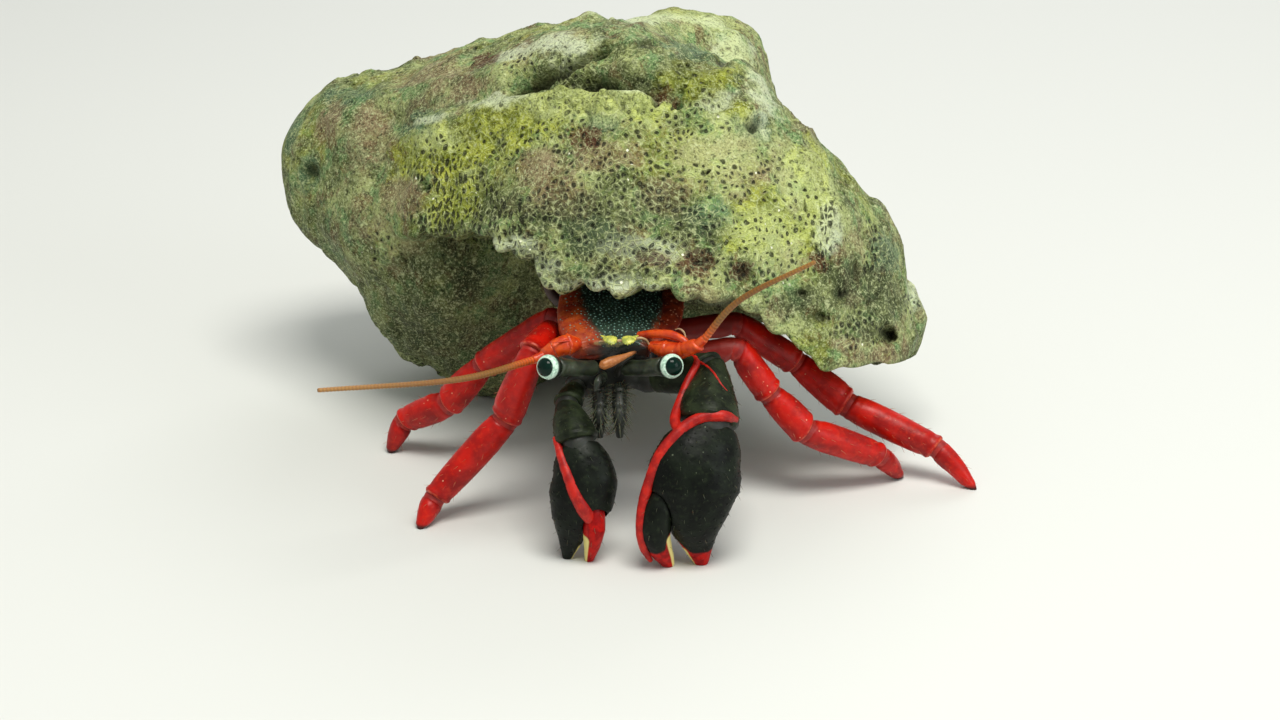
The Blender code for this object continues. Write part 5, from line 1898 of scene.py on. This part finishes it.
mouthForm = {
    "middle": 0.62,
    "path": [(0.98, 9.4), (-0.3, 9.3), (-1.2, 8.5), (-1.3, 7.0)],
    "widths": [0.46, 0.46, 0.42, 0.22],
    "rims": (0.28, 0.55, 0.78),
    "swell": (0.05, 0.05, 0.05),
    "groove": (0.09, 0.025),
}


def buildMouth():
    for side, sign in (("left", 1.0), ("right", -1.0)):
        middle = headForm["midX"] + sign * mouthForm["middle"]
        path = [(middle, y, z) for y, z in mouthForm["path"]]
        rings = ringed(mouthForm["rims"], mouthForm["swell"], mouthForm["groove"])
        form = sweep(path, [0.0, 0.3, 0.7, 1.0], mouthForm["widths"], 28, 90, side=(1, 0, 0), shape=rings)
        limb = swept("maxilliped" + side.capitalize(), darkSkin, form, None, grainy(0.02, 0.4, 27, 2))
        standFor(limb, "maxilliped_" + side)


buildShield()
buildFlap()
buildOcularPlate()
buildEyes()
buildAntenna("left")
buildAntenna("right")
buildElbow()
buildAntennules()
buildMouth()
print("head done")


# Body inside the shell

bodyForm = {
    "voxel": 0.16,              # mm
    "abdomenVoxel": 1.4,        # times the voxel
    "smallLegVoxel": 0.6,
    "smooth": 8,
    "smoothShare": 0.6,
    "hips": (2.3, 3.9),         # mm beside the middle, where the red of the hips comes in
}


def thoraxFinish():
    skin = Finish("thoraxSkin", 0.5)
    tone = skin.mottled(0.7, 4.0, 0.35, 0.65, tint("thorax"), tint("thoraxDeep"))
    outside = skin.plus(skin.mark("hip"),
                        skin.sway(skin.noise(0.9, 3.0), 0.8))
    red = skin.mix(skin.noise(0.6, 3.0), tint("hip"), tint("hipDeep"))
    skin.colour(skin.mix(skin.step(outside, 0.3, 0.75), tone, red))
    skin.relief(skin.noise(0.3, 3.0), 0.05, 0.7)
    return skin


def softCopy(node, name, finish, voxelMm):
    # the solid of a soft part, merged, remeshed finely and smoothed
    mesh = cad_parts[node].data.copy()
    work = bmesh.new()
    work.from_mesh(mesh)
    bmesh.ops.remove_doubles(work, verts=work.verts, dist=1e-6)
    work.to_mesh(mesh)
    work.free()
    thing = intoScene(name, mesh)
    remesh = thing.modifiers.new("remesh", "REMESH")
    remesh.mode = "VOXEL"
    remesh.voxel_size = voxelMm * mm
    smooth = thing.modifiers.new("smooth", "SMOOTH")
    smooth.factor = bodyForm["smoothShare"]
    smooth.iterations = bodyForm["smooth"]
    graph = bpy.context.evaluated_depsgraph_get()
    shaped = bpy.data.meshes.new_from_object(thing.evaluated_get(graph))
    thing.modifiers.clear()
    thing.data = shaped
    shaped.materials.clear()
    shaped.materials.append(finish.material)
    local = spotsOf(thing)
    spots = np.empty(local.size)
    shaped.vertices.foreach_get("co", spots)
    normals = np.empty(local.size)
    shaped.vertices.foreach_get("normal", normals)
    lift = (grainy(0.05, 1.1, 33, 3)(local) * mm)[:, None]
    spots = spots.reshape(-1, 3) + normals.reshape(-1, 3) * lift
    shaped.vertices.foreach_set("co", spots.ravel())
    putMark(shaped, "hip", softStep(np.abs(local[:, 0] - headForm["midX"]), *bodyForm["hips"]))
    shaped.shade_smooth()
    standFor(thing, node)


softCopy("thorax", "thoraxBody", thoraxFinish(), bodyForm["voxel"])
softCopy("pleon", "abdomen", softSkin, bodyForm["voxel"] * bodyForm["abdomenVoxel"])
for smallLeg in ("leg_4_left", "leg_4_right", "leg_5_left", "leg_5_right"):
    softCopy(smallLeg, pieceName(smallLeg), rearSkin, bodyForm["voxel"] * bodyForm["smallLegVoxel"])
print("body done")


# Bristles, granules and nodules, grown over the finished pieces by one node group

growForm = {
    "legBristles": {"spacing": 0.62, "least": 0.22, "most": 0.5, "lean": 1.2},
    "clawBristles": {"spacing": 0.8, "least": 0.2, "most": 0.42, "lean": 1.0},
    "mouthBristles": {"spacing": 0.2, "least": 0.4, "most": 0.95, "lean": 0.9},
    "shieldGranules": {"spacing": 0.24, "least": 0.06, "most": 0.14, "lean": 0.0},
    "clawGranules": {"spacing": 0.42, "least": 0.1, "most": 0.2, "lean": 0.3},
    "crustNodules": {"spacing": 1.0, "least": 0.25, "most": 0.75, "lean": 0.0},
}


def openSocket(sockets, name):
    return next(socket for socket in sockets if socket.name == name and socket.enabled)


def scatterTree():
    tree = bpy.data.node_groups.new("scatter", "GeometryNodeTree")
    kinds = {"Geometry": "Geometry", "Item": "Object", "Spacing": "Float", "Most Density": "Float",
             "Least Size": "Float", "Most Size": "Float", "Lean": "Float", "Seed": "Int",
             "Finish": "Material"}
    for name, kind in kinds.items():
        tree.interface.new_socket(name, in_out="INPUT", socket_type="NodeSocket" + kind)
    tree.interface.new_socket("Geometry", in_out="OUTPUT", socket_type="NodeSocketGeometry")
    add = tree.nodes.new
    link = tree.links.new
    given = add("NodeGroupInput").outputs

    def marked(name, kind):
        node = add("GeometryNodeInputNamedAttribute")
        node.data_type = kind
        node.inputs["Name"].default_value = name
        return openSocket(node.outputs, "Attribute")

    def vectorSum(operation, first, second, into):
        node = add("ShaderNodeVectorMath")
        node.operation = operation
        link(first, node.inputs[0])
        link(second, node.inputs[into])
        return node.outputs[0]

    spread = add("GeometryNodeDistributePointsOnFaces")
    spread.distribute_method = "POISSON"
    link(given["Geometry"], spread.inputs["Mesh"])
    link(given["Spacing"], openSocket(spread.inputs, "Distance Min"))
    link(given["Most Density"], openSocket(spread.inputs, "Density Max"))
    link(marked("grow", "FLOAT"), openSocket(spread.inputs, "Density Factor"))
    link(given["Seed"], spread.inputs["Seed"])
    leaning = vectorSum("SCALE", marked("flow", "FLOAT_VECTOR"), given["Lean"], "Scale")
    turn = add("FunctionNodeAlignRotationToVector")
    turn.axis = "Z"
    link(vectorSum("ADD", spread.outputs["Normal"], leaning, 1), turn.inputs["Vector"])
    size = add("FunctionNodeRandomValue")
    size.data_type = "FLOAT"
    link(given["Least Size"], openSocket(size.inputs, "Min"))
    link(given["Most Size"], openSocket(size.inputs, "Max"))
    link(given["Seed"], size.inputs["Seed"])
    item = add("GeometryNodeObjectInfo")
    link(given["Item"], item.inputs["Object"])
    place = add("GeometryNodeInstanceOnPoints")
    link(spread.outputs["Points"], place.inputs["Points"])
    link(item.outputs["Geometry"], place.inputs["Instance"])
    link(turn.outputs["Rotation"], place.inputs["Rotation"])
    link(openSocket(size.outputs, "Value"), place.inputs["Scale"])
    real = add("GeometryNodeRealizeInstances")
    link(place.outputs["Instances"], real.inputs["Geometry"])
    paint = add("GeometryNodeSetMaterial")
    link(real.outputs["Geometry"], paint.inputs["Geometry"])
    link(given["Finish"], paint.inputs["Material"])
    link(paint.outputs["Geometry"], add("NodeGroupOutput").inputs["Geometry"])
    return tree


scatter = scatterTree()


def grownOver(name, kind, carriers, item, finish, seed):
    setup = growForm[kind]
    spacing = setup["spacing"] * mm
    values = {"Item": item, "Spacing": spacing, "Most Density": 3.0 / spacing ** 2,
              "Least Size": setup["least"], "Most Size": setup["most"], "Lean": setup["lean"],
              "Seed": seed, "Finish": finish.material}
    work = bmesh.new()
    for carrier in carriers:
        modifier = carrier.modifiers.new("grow", "NODES")
        modifier.node_group = scatter
        for socket in scatter.interface.items_tree:
            if socket.in_out == "INPUT" and socket.name in values:
                modifier[socket.identifier] = values[socket.name]
        graph = bpy.context.evaluated_depsgraph_get()
        mesh = bpy.data.meshes.new_from_object(carrier.evaluated_get(graph))
        carrier.modifiers.remove(modifier)
        work.from_mesh(mesh)
        bpy.data.meshes.remove(mesh)
    for vert in work.verts:
        vert.co.z = max(vert.co.z, 0.0)
    mesh = bpy.data.meshes.new(name)
    work.to_mesh(mesh)
    work.free()
    mesh.materials.clear()
    mesh.materials.append(finish.material)
    mesh.shade_smooth()
    standFor(intoScene(name, mesh))
    print(name, "has", len(mesh.polygons), "faces")


def bristleItem():
    # a tapered hair 1 mm long, a little bent
    places = np.array([0.0, 0.35, 0.7, 1.0])
    widths = np.array([0.034, 0.028, 0.018, 0.003])
    angles = 2 * math.pi * np.arange(5) / 5
    grid = np.stack([widths[:, None] * np.cos(angles) + 0.16 * places[:, None] ** 2,
                     widths[:, None] * np.sin(angles), places[:, None] * np.ones(5)], axis=-1)
    points, faces = closedTube(grid)
    return intoScene("bristleItem", meshFrom("bristleItem", points * mm, faces))


def grainItem(name, detail, flat, lumps):
    # a round grain 1 mm across, sunk by half
    work = bmesh.new()
    bmesh.ops.create_icosphere(work, subdivisions=detail, radius=0.5)
    points = np.array([v.co for v in work.verts])
    faces = [[v.index for v in f.verts] for f in work.faces]
    work.free()
    points = points * (1 + lumps * waves(points, 0.4, 3))[:, None]
    points[:, 2] = points[:, 2] * flat
    return intoScene(name, meshFrom(name, points * mm, faces))


def markOf(thing, name):
    values = np.zeros(len(thing.data.vertices), np.float32)
    thing.data.attributes[name].data.foreach_get("value", values)
    return values


def growAll():
    bristle = bristleItem()
    grain = grainItem("grainItem", 2, 0.7, 0.0)
    flatGrain = grainItem("flatGrainItem", 2, 0.35, 0.0)
    lump = grainItem("lumpItem", 3, 0.75, 0.22)
    redHair = skinFinish("redHair")
    darkHair = skinFinish("darkHair")
    for number, leg in enumerate(legForm["joints"]):
        title = pieceName(leg)
        carriers = [made[title + plate.capitalize()] for plate in legForm["plates"]]
        grownOver(title + "Bristles", "legBristles", carriers, bristle, redHair, 11 + number)
    for number, side in enumerate(("left", "right")):
        title = "claw" + side.capitalize()
        carriers = [made[title + plate] for plate in ("Merus", "Carpus", "Palm", "Finger")]
        grownOver(title + "Bristles", "clawBristles", carriers, bristle, darkHair, 21 + number)
        for coat, carrier in ((armCoat, carriers[1]), (darkCoat, carriers[2])):
            grownOver(carrier.name + "Granules", "clawGranules", [carrier], flatGrain, coat,
                      31 + number)
        mouth = made["maxilliped" + side.capitalize()]
        grownOver("maxilliped" + side.capitalize() + "Bristles", "mouthBristles", [mouth], bristle, darkHair,
                  41 + number)
    shield = made["shieldPlate"]
    spots = spotsOf(shield)
    putMark(shield.data, "grow", softStep(spots[:, 2], 12.1, 12.4) * (1 - 0.75 * markOf(shield, "margin")))
    blue = skinFinish("granuleBlue")
    grownOver("shieldGranules", "shieldGranules", [shield], grain, blue, 51)
    flap = made["shieldFlap"]
    putMark(flap.data, "grow", 0.35 * softStep(spotsOf(flap)[:, 2], 12.2, 12.5))
    rose = skinFinish("granuleRose")
    grownOver("flapGranules", "shieldGranules", [flap], grain, rose, 53)
    shell = made["snailShell"]
    spots = spotsOf(shell)
    patchy = softStep(roughness(spots, 4.0, 61, 2), -0.1, 0.6)
    crest = np.maximum(markOf(shell, "pale"), markOf(shell, "film"))
    keep = 1 - np.maximum(markOf(shell, "inside"), markOf(shell, "hole"))
    grow = (0.08 + 0.5 * softStep(crest, 0.4, 0.9)) * patchy * (1 - 0.8 * markOf(shell, "smooth")) * keep
    putMark(shell.data, "grow", grow * softStep(spots[:, 2], 3.0, 6.0))
    grownOver("crustNodules", "crustNodules", [shell], lump, crustCoat, 61)
    for item in (bristle, grain, flatGrain, lump):
        bpy.data.objects.remove(item, do_unlink=True)


growAll()
print("growth done")
